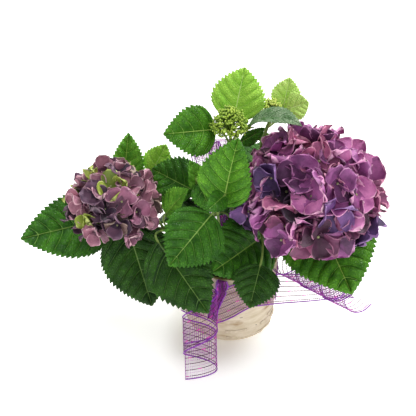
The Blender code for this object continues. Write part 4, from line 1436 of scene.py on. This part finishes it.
# Threads along lines: each line is made round, closed at its ends and given a finish.
thread, thread_in, thread_out = new_group(
    "thread", "GeometryNodeTree",
    {
        "Lines": ("NodeSocketGeometry", None),
        "Thickness": ("NodeSocketFloat", 0.0001),
        "Sides": ("NodeSocketInt", 3),
        "Finish": ("NodeSocketMaterial", None),
    },
    {"Threads": "NodeSocketGeometry"},
)
lines = add_node(thread, "GeometryNodeMeshToCurve", {"Mesh": thread_in.outputs["Lines"]})
outline = add_node(thread, "GeometryNodeCurvePrimitiveCircle", {
    "Resolution": thread_in.outputs["Sides"], "Radius": thread_in.outputs["Thickness"],
}, mode="RADIUS")
spun = add_node(thread, "GeometryNodeCurveToMesh", {
    "Curve": lines.outputs[0], "Profile Curve": outline.outputs["Curve"], "Fill Caps": True,
})
whole = add_node(thread, "GeometryNodeRealizeInstances", {0: spun.outputs[0]})
dressed = add_node(thread, "GeometryNodeSetMaterial", {
    "Geometry": whole.outputs[0], "Material": thread_in.outputs["Finish"],
})
thread.links.new(dressed.outputs[0], thread_out.inputs["Threads"])


def spin_threads(lines, thickness, sides, finish):
    """The plain mesh of threads that follow the given lines."""
    points, pairs = [], []
    for line in lines:
        pairs += [(len(points) + i, len(points) + i + 1) for i in range(len(line) - 1)]
        points += [tuple(p) for p in line]
    mesh = bpy.data.meshes.new("lines")
    mesh.from_pydata(points, pairs, [])
    carrier = bpy.data.objects.new("lines", mesh)
    bpy.context.scene.collection.objects.link(carrier)
    return made_by(thread, carrier, {"Thickness": thickness, "Sides": sides, "Finish": finish})


def smooth(points, steps):
    """Points of a smooth curve through the given ones."""
    found = []
    padded = [points[0] * 2 - points[1]] + points + [points[-1] * 2 - points[-2]]
    for a, b, c, d in zip(padded, padded[1:], padded[2:], padded[3:]):
        for i in range(steps):
            t = i / steps
            found.append(
                (b * 2 + (c - a) * t + (a * 2 - b * 5 + c * 4 - d) * t**2
                 + (b * 3 - a - c * 3 + d) * t**3) / 2
            )
    found.append(points[-1])
    return found


def strip(path, rises, widths):
    """Lower edge, upper edge and outward direction along a ribbon."""
    rows = []
    for i, (centre, rise, width) in enumerate(zip(path, rises, widths)):
        ahead = (path[min(i + 1, len(path) - 1)] - path[max(i - 1, 0)]).normalized()
        rise = (rise - ahead * rise.dot(ahead)).normalized()
        rows.append((centre - rise * width / 2, centre + rise * width / 2, ahead.cross(rise)))
    return rows


def coil(axis, radii, ends, turn, start, steps, depth=1.0):
    """A ribbon coiled about a line, counted from its cut end, round or a little flattened."""
    low, high = axis
    span = (high - low).length
    ahead = (high - low) / span
    side = Vector((0, -1, 0))
    side = (side - ahead * side.dot(ahead)).normalized()
    up = ahead.cross(side)
    halves = len(ends) - 1
    rows = []
    for i in range(halves * steps + 1):
        half = i / steps
        a = start + turn * pi * half
        out = side * cos(a) * depth + up * sin(a)
        k = min(int(half), halves - 1)
        wire = ends[k] + (ends[k + 1] - ends[k]) * (half - k)
        radius = radii[0] + (radii[1] - radii[0]) * half / halves
        top = max(min(wire + RIBBON_WIDTH, span), wire + 0.004)
        rows.append((low + ahead * wire + out * radius, low + ahead * top + out * radius, out))
    return rows


def evenly(rows):
    """The ribbon's rows again, a net pitch apart along its middle."""
    low, high, out = (smooth(list(line), 10) for line in zip(*rows))
    middle = [(a + b) / 2 for a, b in zip(low, high)]
    spaced, gone, due = [], 0.0, 0.0
    for i in range(len(middle) - 1):
        step = (middle[i + 1] - middle[i]).length
        while due <= gone + step and step > 0:
            share = (due - gone) / step
            spaced.append((
                low[i].lerp(low[i + 1], share),
                high[i].lerp(high[i + 1], share),
                out[i].lerp(out[i + 1], share).normalized(),
            ))
            due += NET_PITCH
        gone += step
    return spaced


def woven(rows, threads=NET_THREADS, stripes=STRIPES, crown=0.0):
    """The meshes of one stretch of ribbon: net, edge wires, selvages, stripes and painted glints."""
    rows = evenly(rows)

    def spot(row, s):
        low, high, out = row
        return low.lerp(high, s) + out * (crown * sin(pi * s))

    across = [[spot(row, j / 8) for j in range(9)] for row in rows]
    inner = rows[::3] + ([rows[-1]] if (len(rows) - 1) % 3 else [])
    along = [[spot(row, j / threads) for row in inner] for j in range(1, threads)]
    wires = [[spot(row, s) for row in rows] for s in (0, 1)]
    selvage = [[spot(row, s) for row in inner] for s in (SELVAGE, 1 - SELVAGE)]
    places = [STRIPE_MARGIN + (1 - 2 * STRIPE_MARGIN) * j / (stripes - 1) for j in range(stripes)]
    bands = [[spot(row, place) for row in inner] for place in places]
    glints = [
        [spot(row, place) for row in rows[i:i + GLINT_ROWS]]
        for j, place in enumerate(places)
        for i in range(2 + 7 * j % GLINT_PITCH, len(rows) - GLINT_ROWS, GLINT_PITCH)
    ]
    return [
        spin_threads(along, NET_THREAD, 3, net_finish),
        spin_threads(across, WEFT_THREAD, 3, net_finish),
        spin_threads(wires, EDGE_WIRE, 6, wire_finish),
        spin_threads(selvage, SELVAGE_THREAD, 3, wire_finish),
        spin_threads(bands, STRIPE_THREAD, 4, stripe_finish),
        spin_threads(glints, GLINT_THREAD, 5, painted_glint_finish),
    ]


net_finish = mottled("ribbon net", "C040C8", "88189C", 90.0, 0.35, 0.0)
wire_finish = mottled("ribbon wire", "A83CCC", "8024AC", 200.0, 0.4, 0.3, 0.0003, 1500.0)
stripe_finish = mottled("ribbon stripe", "581438", "1C0814", 170.0, 0.35, 0.0)
# Painted highlight: bright magenta for the glints on the stripes.
painted_glint_finish = mottled("ribbon glint", "FF50D2", "D832B0", 260.0, 0.25, 0.0)

wrap_path = []
for i in range(WRAP_STEPS + 1):
    a = radians(WRAP_START - WRAP_SWEEP * i / WRAP_STEPS)
    r = POT_RIM_RADIUS + RIBBON_THICKNESS
    wrap_path.append(Vector((r * cos(a), r * sin(a), WRAP_HEIGHT + 0.006 * sin(a))))
wrap = strip(wrap_path, [UP] * len(wrap_path), [RIBBON_WIDTH] * len(wrap_path))

# The right tail starts as a band that climbs over the wrap and then leaves the pot.
BAND_RADIUS = POT_RIM_RADIUS + RIBBON_THICKNESS + 0.0002
BAND_CLIMB = (
    (243, 0.0580), (252, 0.0645), (262, 0.0725), (271, 0.0795),
    (281, 0.0850), (291, 0.0880), (301, 0.0880), (309, 0.0850),
)
band_route = []
for heading, height in BAND_CLIMB:
    a = radians(heading)
    band_route.append(Vector((BAND_RADIUS * cos(a), BAND_RADIUS * sin(a), height)))
band_route += [
    Vector((0.0680, -0.0370, 0.0730)),
    Vector((0.0900, -0.0200, 0.0610)),
    Vector((0.1150, -0.0060, 0.0510)),
    Vector((0.1380, 0.0020, 0.0465)),
    Vector((0.1570, 0.0040, 0.0480)),
    Vector((0.1720, 0.0000, 0.0560)),
    Vector((0.1800, -0.0080, 0.0640)),
]
band_path = smooth(band_route, 2)
band = strip(band_path, [UP] * len(band_path), [RIBBON_WIDTH] * len(band_path))
# Each curl: the line it coils about, its radius at both ends, where its edge stands along that
# line at every half turn, the way it turns, where it starts, and steps in a half turn.
right_coil = coil(
    (Vector((0.2020, -0.0170, 0.0425)), Vector((0.0690, -0.0330, 0.1300))),
    (0.0272, 0.0230), (0.000, 0.0160, 0.0380, 0.066, 0.090, 0.112), -1, radians(22), 7,
)
left_coil = coil(
    (Vector((-0.0426, -0.1472, 0.0120)), Vector((-0.0455, -0.0932, 0.1181))),
    (0.0215, 0.0250), (-0.0069, 0.0069, 0.0290, 0.0612, 0.0900), 1, radians(270), 7, 0.62,
)
KNOT_SIZE = (0.0085, 0.0064, 0.0090)
KNOT_SPOT = Vector((-0.0135, -0.0765, 0.1085))
column_route = smooth([
    KNOT_SPOT - UP * (KNOT_SIZE[2] + 0.0003),
    Vector((-0.0155, -0.0775, 0.0930)),
    Vector((-0.0205, -0.0805, 0.0850)),
    Vector((-0.0250, -0.0900, 0.0770)),
    Vector((-0.0275, -0.1020, 0.0700)),
], 3)


def gathered(route, widths, folds=5):
    """Ribbon drawn together: narrow folds of it that lie on each other like a fan."""
    strips = []
    for k in range(folds):
        part = k / (folds - 1) - 0.5
        rise = Matrix.Rotation(radians(48 * part), 3, "Z") @ Vector((1, 0, 0))
        back = Vector((0, -0.0048 * part, 0))
        wavy = [width * (1 + 0.07 * sin(i * 0.9 + k)) for i, width in enumerate(widths)]
        strips.append(strip([spot + back for spot in route], [rise] * len(route), wavy))
    return strips


def knot(centre, size):
    """Folds of ribbon drawn through a tie: wide in the middle and pinched at both ends."""
    route = [centre + UP * (size[2] * (i / 6 - 1)) for i in range(13)]
    return gathered(route, [size[0] * (1.2 + 0.8 * sin(pi * i / 12)) for i in range(13)], 7)


column = gathered(column_route, [0.0125] * len(column_route))
BOW_FOOT = Vector((-0.004, POT_RIM_RADIUS + 0.0088, 0.100))
BOW_LOOP = (
    (0.000, 0.000), (0.004, 0.030), (0.012, 0.070), (0.024, 0.108), (0.042, 0.132),
    (0.062, 0.128), (0.070, 0.100), (0.060, 0.066), (0.036, 0.030), (0.006, -0.002),
)


def bow_loop(lean, size=1.0):
    """One loop of the bow, gathered at its foot and leaning to one side."""
    tilt = Matrix.Rotation(radians(lean), 3, "Y") * size
    path = smooth([BOW_FOOT + tilt @ Vector((0, back, rise)) for back, rise in BOW_LOOP], 2)
    last = len(path) - 1
    spread = [min(1, 4.5 * min(i, last - i) / last) for i in range(last + 1)]
    widths = [0.010 + (RIBBON_WIDTH - 0.014) * share for share in spread]
    return strip(path, [tilt @ Vector((1, 0, 0))] * len(path), widths)


# Threads and stripes across the ribbon where it lies flat, doubles up, or is drawn together.
flat = (NET_THREADS, STRIPES)
crowded = (2 * NET_THREADS, STRIPES)
drawn = (8, 3)
# Name, open stretches, their weave, the node replaced, gathered folds, and swell of the middle.
tied = (
    ("ribbon_round_the_pot", [wrap], flat, "ribbon_wrap", [], 0.0004),
    ("ribbon_right_curl", [band, right_coil], flat, "ribbon_tail_right", [], 0.0),
    ("ribbon_left_curl", [left_coil], flat, "ribbon_tail_left", column, 0.0),
    ("ribbon_back_bow", [bow_loop(-15), bow_loop(24), bow_loop(-2, 1.03)], crowded, "ribbon_bow",
     knot(BOW_FOOT, (0.0085, 0.0080, 0.0095)), 0.0),
    ("ribbon_front_knot", [], flat, "ribbon_knot", knot(KNOT_SPOT, KNOT_SIZE), 0.0),
)
for name, stretches, weave, node, folds, crown in tied:
    meshes = []
    for rows in stretches:
        meshes += woven(rows, *weave, crown)
    for rows in folds:
        meshes += woven(rows, *drawn)
    ribbon = one_object(name, meshes)
    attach(ribbon, "root")
    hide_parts(node)


# ---------------------------------------------------------------- studio
# A pale floor that glows a little, with a shadow painted into its glow under the pot, soft light
# from above and from the front, and a camera that looks down on the plant.

# The painted shadow on the floor: its centre, and the distances where it is darkest and where it is
# gone.
PAINTED_SHADOW_CENTRE = (-0.026, -0.062, 0.0)
PAINTED_SHADOW_NEAR = 0.022
PAINTED_SHADOW_FAR = 0.088
floor_finish, tree, shader = new_finish("studio floor", 0.8, Emission_Strength=0.54)
shader.inputs["Base Color"].default_value = tint("FCFCFA")
glow = add_node(tree, "ShaderNodeVectorMath", {
    0: add_node(tree, "ShaderNodeTexCoord").outputs["Object"], 1: PAINTED_SHADOW_CENTRE,
}, operation="DISTANCE")
spread = add_node(tree, "ShaderNodeMapRange", {
    "Value": glow.outputs["Value"], "From Min": PAINTED_SHADOW_NEAR, "From Max": PAINTED_SHADOW_FAR,
}, interpolation_type="SMOOTHSTEP")
# Painted shadow: the floor's glow turns brownish grey near the pot.
lit = add_node(tree, "ShaderNodeMix", {
    0: spread.outputs["Result"], 6: tint("7C705C"), 7: tint("FFFFFC"),
}, data_type="RGBA")
tree.links.new(lit.outputs[2], shader.inputs["Emission Color"])
corners = [(-4, -4, 0), (4, -4, 0), (4, 4, 0), (-4, 4, 0)]
floor = solid("studio_floor", corners, [(0, 1, 2, 3)], [floor_finish])

world = bpy.data.worlds.new("studio air")
world.use_nodes = True
world.node_tree.nodes["Background"].inputs["Color"].default_value = (1.0, 1.0, 1.0, 1.0)
world.node_tree.nodes["Background"].inputs["Strength"].default_value = 0.52
bpy.context.scene.world = world


def soft_sun(name, towards, spread, power):
    """Even light from one side of the sky, with soft shadows."""
    lamp = bpy.data.lights.new(name, "SUN")
    lamp.angle = radians(spread)
    lamp.energy = power
    holder = bpy.data.objects.new(name, lamp)
    holder.rotation_euler = Vector(towards).to_track_quat("-Z", "Y").to_euler()
    bpy.context.scene.collection.objects.link(holder)


soft_sun("high light", (-0.40, -0.50, -1.0), 16, 2.8)
soft_sun("front light", (-0.5, 0.9, -0.8), 40, 0.7)

camera = bpy.data.cameras.new("camera")
camera.sensor_width = 36.0
camera.sensor_fit = "HORIZONTAL"
camera.lens = 54.75
view = bpy.data.objects.new("camera", camera)
view.location = (-0.033, -0.784, 0.6425)
view.rotation_euler = (radians(60), 0, 0)
bpy.context.scene.collection.objects.link(view)
bpy.context.scene.camera = view
bpy.context.scene.view_settings.view_transform = "Standard"
